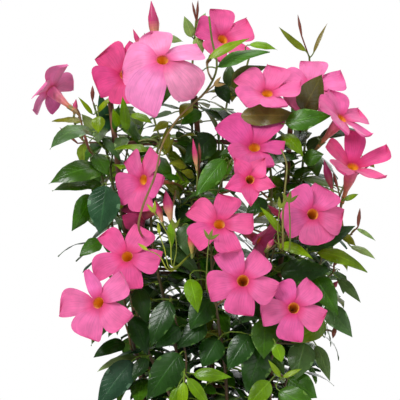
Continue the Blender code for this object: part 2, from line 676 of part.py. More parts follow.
def bud_solid(foot, tip, width, sides=6):
    """A furled bud: a slim foot, widest past the middle, a sharp twisted tip."""
    foot = np.array(foot, dtype=float)
    axis = np.array(tip, dtype=float) - foot
    across = unit(np.cross(axis, (0.2, 0.9, 0.1)))
    other = unit(np.cross(axis, across))
    verts = []
    for share, size in ((0.0, 0.34), (0.2, 0.62), (0.45, 1.0), (0.7, 0.72)):
        for number in range(sides):
            angle = 2 * math.pi * (number / sides + 0.25 * share)
            reach = width / 2 * size
            verts.append(foot + axis * share + reach * (math.cos(angle) * across + math.sin(angle) * other))
    verts.append(foot + axis)
    faces = [list(range(sides))[::-1]]
    for ring in range(3):
        for number in range(sides):
            a = ring * sides + number
            b = ring * sides + (number + 1) % sides
            faces.extend(([a, b, b + sides], [a, b + sides, a + sides]))
    for number in range(sides):
        faces.append([3 * sides + number, 3 * sides + (number + 1) % sides, 4 * sides])
    return verts, faces


# The made things


def build_pot():
    slope = (POT_TOP_RADIUS - RIM_PROUD - POT_BASE_RADIUS) / (POT_HEIGHT - RIM_HEIGHT)
    inner_base = POT_BASE_RADIUS + slope * POT_FLOOR - POT_WALL
    inner_top = POT_TOP_RADIUS - RIM_PROUD - POT_WALL
    profile = [
        (POT_BASE_RADIUS, 0.0),
        (POT_TOP_RADIUS - RIM_PROUD, POT_HEIGHT - RIM_HEIGHT),
        (POT_TOP_RADIUS, POT_HEIGHT - RIM_HEIGHT),
        (POT_TOP_RADIUS + 1.0, POT_HEIGHT),
        (inner_top + 1.0, POT_HEIGHT),
        (inner_base, POT_FLOOR),
    ]
    pot = make_mesh_object("pot", turned(profile), "clay")
    for number in range(4):
        angle = math.pi / 2 * number + 0.4
        spot = (DRAIN_RING * math.cos(angle), DRAIN_RING * math.sin(angle))
        cut_hole(pot, [(*spot, -5), (*spot, POT_FLOOR + 5)], DRAIN_RADIUS, 8)
    apply_modifiers_and_drop_cutters(pot)
    shade(pot, 30)
    return pot, inner_base, inner_top


def turned(profile):
    """A closed solid turned about Z from a profile that starts and ends near the axis."""
    verts = []
    for r, z in profile:
        for number in range(POT_SIDES):
            angle = 2 * math.pi * number / POT_SIDES
            verts.append((r * math.cos(angle), r * math.sin(angle), z))
    faces = []
    for ring in range(len(profile) - 1):
        for number in range(POT_SIDES):
            a = ring * POT_SIDES + number
            b = ring * POT_SIDES + (number + 1) % POT_SIDES
            faces.append([a, b, b + POT_SIDES, a + POT_SIDES])
    faces.append(list(range(POT_SIDES))[::-1])
    faces.append(list(range(len(verts) - POT_SIDES, len(verts))))
    return verts, faces


def cut_hole(item, path, radius, sides):
    cutter = make_mesh_object(f"{item.name}_cutter", tube(path, radius, sides), None)
    cutter.hide_render = True
    cutter.display_type = "WIRE"
    cut = item.modifiers.new("hole", "BOOLEAN")
    cut.operation = "DIFFERENCE"
    cut.object = cutter


def apply_modifiers_and_drop_cutters(item):
    cutters = [modifier.object for modifier in item.modifiers if modifier.type == "BOOLEAN"]
    apply_modifiers(item)
    for cutter in cutters:
        bpy.data.objects.remove(cutter, do_unlink=True)


def build_soil(inner_base, inner_top, roots):
    """The soil fills the pot, with a hole for each stake and vine."""
    slope = (inner_top + 1.0 - inner_base) / (POT_HEIGHT - POT_FLOOR)
    low = POT_FLOOR + GAP
    profile = [
        (inner_base - GAP, low),
        (inner_base + slope * (SOIL_TOP - 4 - POT_FLOOR) - GAP, SOIL_TOP - 4),
        (inner_base * 0.72, SOIL_TOP),
    ]
    soil = make_mesh_object("soil", turned(profile), "soil")
    for path, radius, sides in roots:
        cut_hole(soil, path, radius + GAP, sides)
    apply_modifiers_and_drop_cutters(soil)
    return soil


def stake_path(name):
    foot, tip = STAKES[name]
    foot = np.array((*foot, SOIL_TOP))
    tip = np.array(tip, dtype=float)
    below = foot - (tip - foot) / (tip[2] - foot[2]) * STAKE_DEPTH
    middle = (foot + tip) / 2 + np.array((1.2, 0.4, 0.0))
    return [below, foot, middle, tip]


def stake_at(name, z):
    path = stake_path(name)
    for low, high in zip(path, path[1:]):
        if low[2] <= z <= high[2]:
            share = (z - low[2]) / (high[2] - low[2])
            return low + share * (high - low)
    return path[-1]


def band_cane(name, side):
    """One cane of a band: before one stake and behind the next, and past its twin between them."""
    z, start, end, sag = BANDS[name]
    centres = [stake_at(stake, z) for stake in STAKES]
    clear = STAKE_RADIUS + CANE_RADIUS + GAP + 0.35
    apart = CANE_RADIUS + GAP + 0.1

    def level(x):
        return z + sag * (1 - ((x + 10) / 110) ** 2)

    knots = [(start, centres[0][1], level(start) + side * apart)]
    for number, centre in enumerate(centres):
        front = side if number % 2 == 0 else -side
        for step in (-4, 4):
            knots.append((centre[0] + step, centre[1] - front * clear, level(centre[0]) + front * 0.4))
        if number < 2:
            between = (centre[0] + centres[number + 1][0]) / 2
            knots.append((between, centre[1], level(between) + side * apart))
    knots.append((end, centres[-1][1], level(end) + side * apart))
    return tube(np.array(knots, dtype=float), CANE_RADIUS, 5)


def build_wire_ring():
    """A black wire loop that hangs on the middle stake and holds the stem before it."""
    centre = stake_at("stake_middle", 268)
    points = []
    for number in range(12):
        angle = 2 * math.pi * number / 12
        points.append(centre + np.array((11 * math.cos(angle), 7.2 * math.sin(angle) - 3.0, 0.0)))
    verts = []
    for number, point in enumerate(points):
        out = unit(point - centre + np.array((0, 3.0, 0)))
        for along, rise in ((1, 0), (0, 1), (-1, 0), (0, -1)):
            verts.append(point + WIRE_RADIUS * (along * out + rise * np.array((0, 0, 1.0))))
    faces = []
    for ring in range(12):
        for step in range(4):
            a, b = ring * 4 + step, ring * 4 + (step + 1) % 4
            c, d = (b + 4) % 48, (a + 4) % 48
            faces.append([a, d, c, b])
    return make_mesh_object("wire_ring", (verts, faces), "wire")


# The vines


class Space:
    """All solids placed so far, so that a new one can be tested for room."""

    def __init__(self):
        self.trees = []

    def add(self, owner, kind, solid):
        verts = np.asarray(solid[0], dtype=float)
        tree = BVHTree.FromPolygons(verts.tolist(), solid[1])
        self.trees.append((owner, kind, tree, verts.min(axis=0), verts.max(axis=0)))

    def clash(self, solid, owner, own_kinds):
        """Whether another solid is in the way. Of the owner's own, only the given kinds count."""
        verts = np.asarray(solid[0], dtype=float)
        low, high = verts.min(axis=0), verts.max(axis=0)
        tree = BVHTree.FromPolygons(verts.tolist(), solid[1])
        for other, kind, other_tree, other_low, other_high in self.trees:
            if other == owner and kind not in own_kinds:
                continue
            if (low > other_high).any() or (high < other_low).any():
                continue
            if tree.overlap(other_tree):
                return True
        return False


def vine_paths(name):
    """The centre lines of a vine's shoots, each side shoot begun on an earlier one."""
    paths = []
    for points in VINES[name]:
        if paths:
            points = [nearest_on(paths, np.array(points[0], dtype=float))[1]] + points[1:]
        paths.append(smooth_path(points, VINE_STEP))
    return paths


def vine_tubes(name):
    """The vine's shoots as closed tubes that thin toward their ends."""
    solids = []
    for number, path in enumerate(vine_paths(name)):
        if number == 0:
            root = path[0] - np.array((0, 0, ROOT_DEPTH))
            path = np.vstack((root, path))
            radii = np.linspace(VINE_RADIUS, TWIG_RADIUS, len(path))
            solids.append(tube(path, radii, 4))
        else:
            radii = np.linspace(TWIG_RADIUS * 1.1, TWIG_RADIUS * 0.9, len(path))
            solids.append(tube(path, radii, 4))
    return solids


def nearest_on(paths, point):
    """The nearest point of the shoots' centre lines."""
    best = None
    for path in paths:
        path = list(path)
        for a, b in zip(path, path[1:]):
            run = b - a
            most = 1 - 2.0 / np.linalg.norm(run) if b is path[-1] else 1
            share = float(np.clip(np.dot(point - a, run) / np.dot(run, run), 0, most))
            spot = a + share * run
            gap = np.linalg.norm(point - spot)
            if best is None or gap < best[0]:
                best = (gap, spot)
    return best


def leaf_tries(key, leaf):
    """The given place first, then the same leaf deeper, nearer, rolled or shifted a little."""
    (x0, z0), (x1, z1), width, (y0, y1), roll, bend = leaf
    draw = random.Random(key)
    for number in range(TRIES):
        spread = 0.0 if number == 0 else 3.0 + 1.3 * number
        dy = draw.uniform(-1, 1) * spread * 1.6
        dip = draw.uniform(-1, 1) * spread * 0.5
        dx = draw.uniform(-1, 1) * spread * 0.2
        dz = draw.uniform(-1, 1) * spread * 0.2
        turn = draw.uniform(-1, 1) * spread
        foot = np.array((x0 + dx, y0 + dy, z0 + dz))
        tip = np.array((x1 + dx, y1 + dy + dip, z1 + dz))
        _, normal, _ = leaf_frame(foot, tip, roll + turn)
        yield foot, tip, width, normal, bend


def pair_tries(key, spot, tangent, side, length):
    """One leaf of a pair: out from the shoot, drooping, its upper face to the sky and outward."""
    draw = random.Random(key)
    for number in range(TRIES):
        angle = side + draw.uniform(-0.5, 0.5) * (1 + 0.25 * number)
        out = np.array((math.cos(angle), math.sin(angle), draw.uniform(-0.35, 0.25)))
        size = length * draw.uniform(0.7, 1.05) * (1 - 0.025 * number)
        foot = spot + unit(out) * draw.uniform(7, 11)
        chord = unit(out + np.array((0, 0, draw.uniform(-0.9, -0.1))))
        tip = foot + chord * size
        normal = np.array((0, 0, 1.0)) + 0.5 * out + 0.2 * tangent
        normal = unit(normal - chord * np.dot(normal, chord))
        yield foot, tip, size * draw.uniform(0.44, 0.52), normal, draw.uniform(25, 60)


def place_leaf(name, space, paths, tries):
    """The first try that has room, as one solid with its stalk, or nothing."""
    for foot, tip, width, normal, bend in tries:
        _, spot = nearest_on(paths, foot)
        wide = leaf_rings(spot, foot, tip, width, normal, bend, CLEARANCE / 2)
        blade = ring_solid(wide[1:])
        holder = ring_solid(wide[:2])
        if space.clash(blade, name, ("leaf", "stalk", "shoot", "stem")):
            continue
        if space.clash(holder, name, ("leaf",)):
            continue
        space.add(name, "leaf", blade)
        space.add(name, "stalk", holder)
        return [ring_solid(leaf_rings(spot, foot, tip, width, normal, bend))]
    return []


def calyx_point(bloom, back=0.0):
    _, throat, turn, tilt, _, radius, _, _, _ = bloom
    facing = bloom_frame(turn, tilt)[2]
    return np.array(throat) - facing * (TUBE_LENGTH * radius / 36.0 + back), facing


def bloom_stalk(bloom, paths, grow=0.0):
    """The flower stalk: from the vine up to a small cup behind the bloom's tube."""
    seat, facing = calyx_point(bloom, GAP)
    neck = seat - facing * 7
    _, spot = nearest_on(paths, neck - facing * 6 + np.array((0, 0, -14.0)))
    middle = (neck + spot) / 2 - facing * 3
    path = np.array((seat, neck, middle, spot))
    radii = np.array((CALYX_RADIUS, 1.5, 1.1, 1.2)) + grow
    return tube(path, radii, 3)


def bud_stalk(foot, tip, width, paths, grow=0.0):
    foot = np.array(foot, dtype=float)
    axis = unit(np.array(tip, dtype=float) - foot)
    seat = foot - axis * GAP
    neck = seat - axis * 4
    _, spot = nearest_on(paths, neck + np.array((0, 0, -8.0)))
    middle = (neck + spot) / 2 + np.array((0, 0, -1.0))
    path = np.array((seat, neck, middle, spot))
    radii = np.array((0.2 * width, 1.0, 0.9, 1.0)) + grow
    return tube(path, radii, 3)


def tip_solid(paths, foot, tip, width):
    """A small closed bud and its stalk in one: three sides, widest past the middle."""
    foot = np.array(foot, dtype=float)
    axis = np.array(tip, dtype=float) - foot
    _, spot = nearest_on(paths, foot + np.array((0, 0, -5.0)))
    across = unit(np.cross(axis, (0.2, 0.9, 0.1)))
    rings = elbow_rings(spot, foot, unit(axis), across, max(0.225 * width, STALK_RADIUS))
    other = unit(np.cross(axis, across))
    rings.append([foot + axis / 2 + width / 2 * (math.cos(angle) * across + math.sin(angle) * other)
                  for angle in (0.0, 2 * math.pi / 3, 4 * math.pi / 3)])
    return ring_solid(rings + [[foot + axis]])


def build_vines(space):
    """Every vine with its leaves, stalks and small buds, each joined in one solid."""
    paths = {name: vine_paths(name) for name in VINES}
    solids = {name: vine_tubes(name) for name in VINES}

    for name, shoots in solids.items():
        for shoot in shoots:
            space.add(name, "shoot", shoot)
    for number, bloom in enumerate(BLOOMS):
        space.add(f"bloom_{number + 1:02d}", "bloom", bloom_solid(bloom, CLEARANCE / 2))
    for number, (_, foot, tip, width) in enumerate(BUDS):
        space.add(f"bud_{number + 1:02d}", "bud", bud_solid(foot, tip, width + CLEARANCE))
    for bloom in BLOOMS:
        name = bloom[0]
        space.add(name, "stem", bloom_stalk(bloom, paths[name], CLEARANCE / 2))
        solids[name].append(bloom_stalk(bloom, paths[name]))
    for name, foot, tip, width in BUDS:
        space.add(name, "stem", bud_stalk(foot, tip, width, paths[name], CLEARANCE / 2))
        solids[name].append(bud_stalk(foot, tip, width, paths[name]))
    for name, tips in TIPS.items():
        for tip_bud in tips:
            space.add(name, "stem", tip_solid(paths[name], *tip_bud))
            solids[name].append(tip_solid(paths[name], *tip_bud))
    for name, leaves in LEAVES.items():
        for number, leaf in enumerate(leaves):
            tries = leaf_tries(f"{name} {number}", leaf)
            solids[name] += place_leaf(name, space, paths[name], tries)
    for name, rules in PAIRS.items():
        for shoot, start, end, pairs, length in rules:
            for number in range(pairs):
                share = start + (end - start) * (number + 0.5) / pairs
                spot, tangent = point_along(paths[name][shoot], share)
                turn = random.Random(f"{name} {shoot} {number}").uniform(0, math.pi)
                for half in (0, 1):
                    key = f"{name} {shoot} {number} {half}"
                    tries = pair_tries(key, spot, tangent, turn + math.pi * half, length)
                    solids[name] += place_leaf(name, space, paths[name], tries)
    for name in VINES:
        shade(join_solids(name, solids[name], "leaf"))


def point_along(path, share):
    steps = np.linalg.norm(np.diff(path, axis=0), axis=1)
    travelled = np.concatenate(([0.0], np.cumsum(steps)))
    target = share * travelled[-1]
    number = int(np.clip(np.searchsorted(travelled, target) - 1, 0, len(steps) - 1))
    part = (target - travelled[number]) / steps[number]
    run = path[number + 1] - path[number]
    return path[number] + part * run, unit(run)


def main():
    clear_scene()
    _, inner_base, inner_top = build_pot()
    space = Space()
    roots = []
    for name in STAKES:
        path = stake_path(name)
        item = make_mesh_object(name, tube(path, STAKE_RADIUS, 7), "stake")
        shade(item)
        space.add(name, "stake", tube(path, STAKE_RADIUS + GAP, 7))
        deep = path[0] + (path[0] - path[1]) / STAKE_DEPTH * 0.5
        roots.append(([deep, path[1] + (path[1] - path[0]) * 0.2], STAKE_RADIUS, 7))
    for name in VINES:
        top = np.array(VINES[name][0][0], dtype=float)
        deep = top - np.array((0, 0, ROOT_DEPTH + 0.5))
        roots.append(([deep, top + np.array((0, 0, 8.0))], VINE_RADIUS + 0.35, 5))
    build_soil(inner_base, inner_top, roots)
    for band in BANDS:
        for label, side in (("front", 1), ("back", -1)):
            cane = band_cane(band, side)
            space.add(f"{band}_{label}", "band", cane)
            shade(make_mesh_object(f"{band}_{label}", cane, "cane"))
    rung = tube(RUNG, CANE_RADIUS + 0.3, 6)
    item = make_mesh_object("rung_bottom", rung, "cane")
    shade(item)
    space.add("rung_bottom", "band", rung)
    ring = build_wire_ring()
    verts = [np.array(vertex.co) / MM for vertex in ring.data.vertices]
    space.add(ring.name, "band", (verts, [list(face.vertices) for face in ring.data.polygons]))
    shade(ring)
    build_vines(space)
    for number, bloom in enumerate(BLOOMS):
        shade(make_mesh_object(f"bloom_{number + 1:02d}", bloom_solid(bloom), "petal"), 50)
    for number, (_, foot, tip, width) in enumerate(BUDS):
        shade(make_mesh_object(f"bud_{number + 1:02d}", bud_solid(foot, tip, width), "bud"))


main()
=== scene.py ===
# Looks of a potted pink mandevilla on a small fan trellis. Plant lengths are in millimetres.
import math
import random
from functools import partial

import bpy
import numpy as np
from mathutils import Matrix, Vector
from mathutils.bvhtree import BVHTree
from mathutils.kdtree import KDTree


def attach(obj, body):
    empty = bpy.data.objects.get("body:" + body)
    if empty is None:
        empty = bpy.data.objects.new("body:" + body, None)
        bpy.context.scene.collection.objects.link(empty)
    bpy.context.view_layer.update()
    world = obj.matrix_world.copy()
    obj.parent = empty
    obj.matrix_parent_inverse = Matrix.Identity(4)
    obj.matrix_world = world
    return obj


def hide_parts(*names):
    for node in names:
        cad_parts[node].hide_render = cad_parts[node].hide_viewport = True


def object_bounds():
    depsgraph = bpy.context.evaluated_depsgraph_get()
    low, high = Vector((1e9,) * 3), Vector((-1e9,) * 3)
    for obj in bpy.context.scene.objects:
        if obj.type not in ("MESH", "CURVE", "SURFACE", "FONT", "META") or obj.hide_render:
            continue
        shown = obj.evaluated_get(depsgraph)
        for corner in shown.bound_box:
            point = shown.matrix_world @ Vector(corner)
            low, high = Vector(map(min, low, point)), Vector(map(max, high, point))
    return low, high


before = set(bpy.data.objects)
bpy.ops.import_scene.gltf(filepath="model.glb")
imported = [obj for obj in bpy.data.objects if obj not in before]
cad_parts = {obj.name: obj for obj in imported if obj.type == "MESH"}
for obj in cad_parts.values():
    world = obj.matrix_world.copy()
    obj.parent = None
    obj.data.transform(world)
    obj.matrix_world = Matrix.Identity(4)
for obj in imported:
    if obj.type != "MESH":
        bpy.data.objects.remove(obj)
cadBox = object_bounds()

mm = 0.001
print("frame loaded")


# Colours and shader nodes


# Linear colour of an sRGB hex code.
def hexColour(code):
    channels = np.array([int(code[n:n + 2], 16) for n in (1, 3, 5)]) / 255
    linear = np.where(channels <= 0.04045, channels / 12.92, ((channels + 0.055) / 1.055) ** 2.4)
    return (*linear.tolist(), 1.0)


# Adds a node with its settings, its input values and the sockets that feed it, and gives back its
# first output or the one that take names. The stops of a colour ramp are among its settings.
def addNode(tree, kind, settings=None, links=None, take=0):
    node = tree.nodes.new("ShaderNode" + kind)
    for key, value in (settings or {}).items():
        if key == "stops":
            band = node.color_ramp
            while len(band.elements) < len(value):
                band.elements.new(0.5)
            for element, (place, colour) in zip(band.elements, value):
                element.position = place
                element.color = hexColour(colour) if isinstance(colour, str) else (*[colour] * 3, 1.0)
        elif isinstance(key, str) and hasattr(node, key):
            setattr(node, key, value)
        else:
            node.inputs[key].default_value = value
    for key, socket in (links or {}).items():
        tree.links.new(socket, node.inputs[key])
    return node.outputs[take] if node.outputs else None


# A material whose skin is laid out by a function, with the choices that it takes.
def makeMaterial(name, laySkin, *choices):
    material = bpy.data.materials.new(name)
    material.use_nodes = True
    tree = material.node_tree
    tree.nodes.clear()
    add = partial(addNode, tree)
    add("OutputMaterial", links={"Surface": laySkin(add, *choices)})
    return material


tinting = {"data_type": "RGBA", "blend_type": "MULTIPLY"}
laying = {"data_type": "RGBA", "blend_type": "MIX"}


# A colour with a pattern's stops multiplied in, as strongly as strength says.
def tinted(add, colour, pattern, stops, strength):
    tint = add("ValToRGB", {"stops": stops}, {"Fac": pattern})
    return add("Mix", {**tinting, 0: strength}, {6: colour, 7: tint}, 2)


# Leaf, grown: a wax skin over green flesh. The eye sees uneven green under a half gloss that breaks
# into soft glints, a pale midrib and faint side veins that arch toward the tip.
def leafSkin(add):
    tone = add("Attribute", {"attribute_name": "tone"}, take="Color")
    blade = add("UVMap", {"uv_map": "blade"})
    sideways, along = (add("SeparateXYZ", links={"Vector": blade}, take=axis) for axis in "XY")
    fromRib = add("Math", {"operation": "SUBTRACT", 1: 0.5}, {0: sideways})
    across = add("Math", {"operation": "ABSOLUTE"}, {0: fromRib})
    # A midrib of 0.6 mm and its soft edge of 1.4 mm, on a blade 25 mm wide
    rib = add("MapRange", {"From Min": 0.3 / 25, "From Max": 1.0 / 25, "To Min": 1.0, "To Max": 0.0},
              {"Value": across})
    # Vein pairs 6 mm apart on a blade 54 mm long
    bend = add("Math", {"operation": "POWER", 1: 0.8}, {0: across})
    rise = add("Math", {"operation": "MULTIPLY", 1: 54 / 6}, {0: along})
    pairs = add("Math", {"operation": "MULTIPLY_ADD", 1: -4.2}, {0: bend, 2: rise})
    nearVein = add("Math", {"operation": "PINGPONG", 1: 0.5}, {0: pairs})
    vein = add("MapRange", {"From Min": 0.0, "From Max": 0.5 / 6, "To Min": 1.0, "To Max": 0.0},
               {"Value": nearVein})
    # Patches 18 mm across, and cells drawn at 1.4 mm because real ones are too fine to show
    place = add("TexCoord", take="Object")
    patch = add("TexNoise", {"Scale": 1000 / 18, "Detail": 2.0}, {"Vector": place})
    cell = add("TexNoise", {"Scale": 1000 / 1.4, "Detail": 2.0}, {"Vector": place})
    shade = tinted(add, tone, patch, [(0.3, 0.7), (0.7, 1.3)], 1.0)
    shade = tinted(add, shade, cell, [(0.3, 0.8), (0.7, 1.15)], 0.5)
    pale = add("Mix", {**tinting, 0: 1.0, 7: (1.6, 1.6, 1.35, 1.0)}, {6: shade}, 2)
    for mark, strength in ((vein, 0.24), (rib, 0.75)):
        share = add("Math", {"operation": "MULTIPLY", 1: strength}, {0: mark})
        shade = add("Mix", laying, {0: share, 6: shade, 7: pale}, 2)
    groove = add("Math", {"operation": "MAXIMUM"}, {0: rib, 1: vein})
    rough = add("Math", {"operation": "MULTIPLY", 1: 0.25}, {0: cell})
    height = add("Math", {"operation": "MULTIPLY_ADD", 1: -1.0}, {0: groove, 2: rough})
    bump = add("Bump", {"Strength": 0.26, "Distance": 0.0005}, {"Height": height})
    gloss = add("ValToRGB", {"stops": [(0.3, 0.2), (0.7, 0.34)]}, {"Fac": patch})
    return add("BsdfPrincipled", {"IOR": 1.45, "Specular IOR Level": 0.32},
               {"Base Color": shade, "Normal": bump, "Roughness": gloss})


# Petal, grown thin, with fine hairs that give a soft sheen and no glint. The eye sees a golden throat,
# a red ring at its mouth, then pink with streaks that fan out and a paler field between them.
def petalSkin(add):
    tone = add("Attribute", {"attribute_name": "tone"}, take="Color")
    blade = add("UVMap", {"uv_map": "blade"})
    sideways, along = (add("SeparateXYZ", links={"Vector": blade}, take=axis) for axis in "XY")
    # Streaks 1 mm wide and 16 mm long, on a lobe 34 mm wide and 42 mm long from the throat's foot
    fanWide = add("Math", {"operation": "MULTIPLY", 1: 34 / 1.0}, {0: sideways})
    fanLong = add("Math", {"operation": "MULTIPLY", 1: 42 / 16}, {0: along})
    fan = add("CombineXYZ", links={"X": fanWide, "Y": fanLong})
    streak = add("TexNoise", {"Scale": 1.0, "Detail": 3.0}, {"Vector": fan})
    # Clouds 11 mm across
    place = add("TexCoord", take="Object")
    cloud = add("TexNoise", {"Scale": 1000 / 11, "Detail": 2.0}, {"Vector": place})
    # The throat ends at 0.25 of the length, where the streaks fray its edge
    fray = add("Math", {"operation": "SUBTRACT", 1: 0.5}, {0: streak})
    depth = add("Math", {"operation": "MULTIPLY_ADD", 1: 0.05}, {0: fray, 2: along})
    # The throat's gold is its own colour; the darker ochre at the funnel's foot is painted shade deep in the
    # throat.
    throat = add("ValToRGB", {"stops": [
        (0.0, "#d0901a"), (0.1, "#f2ae14"), (0.19, "#ffbe20"), (0.225, "#f09028"), (0.26, "#e0406a")]},
        {"Fac": depth})
    mouth = add("ValToRGB", {"stops": [(0.225, 1.0), (0.27, 0.0)]}, {"Fac": depth})
    field = [(0.25, "#cc2462"), (0.33, "#f094bc"), (0.5, "#ffffff"), (0.8, "#fff8fa"), (1.0, "#f8dcea")]
    shade = tinted(add, tone, along, field, 0.8)
    shade = tinted(add, shade, streak, [(0.35, 0.66), (0.65, 1.2)], 0.32)
    shade = tinted(add, shade, cloud, [(0.3, 0.84), (0.7, 1.14)], 0.8)
    shade = add("Mix", laying, {0: mouth, 6: shade, 7: throat}, 2)
    bump = add("Bump", {"Strength": 0.25, "Distance": 0.0006}, {"Height": streak})
    velvet = {"Roughness": 0.62, "Specular IOR Level": 0.25, "Sheen Weight": 0.25, "Sheen Roughness": 0.5}
    return add("BsdfPrincipled", {"IOR": 1.4, **velvet}, {"Base Color": shade, "Normal": bump})


# Young stem or bud, grown: a smooth live skin. The eye sees a soft shine and fine upright flecks.
def stemSkin(add, gloss):
    tone = add("Attribute", {"attribute_name": "tone"}, take="Color")
    # Flecks 4 mm wide and 16 mm long
    place = add("TexCoord", take="Object")
    upright = add("Mapping", {"Scale": (1, 1, 4 / 16)}, {"Vector": place})
    fleck = add("TexNoise", {"Scale": 1000 / 4, "Detail": 3.0}, {"Vector": upright})
    shade = tinted(add, tone, fleck, [(0.3, 0.7), (0.7, 1.2)], 0.8)
    bump = add("Bump", {"Strength": 0.3, "Distance": 0.0004}, {"Height": fleck})
    return add("BsdfPrincipled", {"IOR": 1.45, "Roughness": gloss}, {"Base Color": shade, "Normal": bump})


# Stick with its bark, cut, stained and dried: dull brown. The eye sees fibres that run along it,
# stretch says which way, and paler places where the stain has worn.
def barkSkin(add, light, dark, stretch):
    # Fibres 1.9 mm wide and eight times as long, worn places 17 mm across
    place = add("TexCoord", take="Object")
    lengthwise = add("Mapping", {"Scale": stretch}, {"Vector": place})
    fibre = add("TexNoise", {"Scale": 1000 / 1.9, "Detail": 4.0}, {"Vector": lengthwise})
    worn = add("TexNoise", {"Scale": 1000 / 17, "Detail": 3.0}, {"Vector": place})
    stain = add("ValToRGB", {"stops": [(0.3, dark), (0.62, light)]}, {"Fac": fibre})
    shade = tinted(add, stain, worn, [(0.35, 0.62), (0.7, 1.2)], 0.8)
    bump = add("Bump", {"Strength": 0.7, "Distance": 0.0008}, {"Height": fibre})
    return add("BsdfPrincipled", {"IOR": 1.5, "Roughness": 0.72}, {"Base Color": shade, "Normal": bump})


# Terracotta, thrown and fired without a glaze: dry and matt. The eye sees warm orange in large clouds,
# a pale bloom of salts and open pores.
def claySkin(add):
    # Clouds 55 mm across and pores of 1.1 mm
    place = add("TexCoord", take="Object")
    cloud = add("TexNoise", {"Scale": 1000 / 55, "Detail": 5.0}, {"Vector": place})
    pore = add("TexNoise", {"Scale": 1000 / 1.1, "Detail": 2.0}, {"Vector": place})
    fired = [(0.3, "#a3553a"), (0.6, "#bd6d4b"), (0.78, "#cf9577")]
    body = add("ValToRGB", {"stops": fired}, {"Fac": cloud})
    shade = tinted(add, body, pore, [(0.35, 0.75), (0.6, 1.05)], 0.5)
    bump = add("Bump", {"Strength": 0.35, "Distance": 0.0006}, {"Height": pore})
    return add("BsdfPrincipled", {"IOR": 1.5, "Roughness": 0.85}, {"Base Color": shade, "Normal": bump})


# Potting compost, shredded bark and peat: no shine. The eye sees dark damp fibre and lighter crumbs.
def soilSkin(add):
    # Crumbs of 2.4 mm
    place = add("TexCoord", take="Object")
    crumb = add("TexNoise", {"Scale": 1000 / 2.4, "Detail": 4.0}, {"Vector": place})
    damp = [(0.3, "#17100b"), (0.55, "#35251a"), (0.72, "#5a4330")]
    shade = add("ValToRGB", {"stops": damp}, {"Fac": crumb})
    bump = add("Bump", {"Strength": 0.9, "Distance": 0.002}, {"Height": crumb})
    return add("BsdfPrincipled", {"IOR": 1.4, "Roughness": 0.95}, {"Base Color": shade, "Normal": bump})


# Garden wire, steel drawn through a PVC coat: near black with a half gloss. The eye sees fine scuffs.
def wireSkin(add):
    # Scuffs of 1.2 mm
    place = add("TexCoord", take="Object")
    scuff = add("TexNoise", {"Scale": 1000 / 1.2, "Detail": 2.0}, {"Vector": place})
    shade = add("ValToRGB", {"stops": [(0.3, "#0c0c0d"), (0.7, "#202022")]}, {"Fac": scuff})
    gloss = add("ValToRGB", {"stops": [(0.3, 0.35), (0.7, 0.55)]}, {"Fac": scuff})
    return add("BsdfPrincipled", {"IOR": 1.5}, {"Base Color": shade, "Roughness": gloss})


materials = {
    "leaf": makeMaterial("waxy_leaf", leafSkin),
    "petal": makeMaterial("velvet_petal", petalSkin),
    "stem": makeMaterial("young_stem", stemSkin, 0.45),
    "bud": makeMaterial("silky_bud", stemSkin, 0.4),
    "stake": makeMaterial("stained_stick", barkSkin, "#a06e56", "#5a3a2c", (1, 1, 0.12)),
    "cane": makeMaterial("dark_cane", barkSkin, "#8e5e48", "#4a2e24", (0.12, 1, 1)),
    "clay": makeMaterial("fired_terracotta", claySkin),
    "soil": makeMaterial("potting_compost", soilSkin),
    "wire": makeMaterial("coated_wire", wireSkin),
}
print("finishes made")


# Surfaces on a grid of rings


# An object in the scene.
def addObject(name, data):
    item = bpy.data.objects.new(name, data)
    bpy.context.scene.collection.objects.link(item)
    return item


# A piece on the one body that stands in for nodes of the frame.
def addPiece(name, mesh, nodes):
    item = addObject(name, mesh)
    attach(item, "root")
    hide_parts(*nodes)
    return item


# Corners of the quads between rings of points: here, the next on the ring, and both a ring on.
def ringQuads(rows, around, first=0):
    grid = np.arange(rows * around).reshape(rows, around) + first
    after = np.roll(grid, -1, axis=1)
    return grid, np.stack((grid[:-1], after[:-1], after[1:], grid[1:]), axis=-1).reshape(-1, 4)


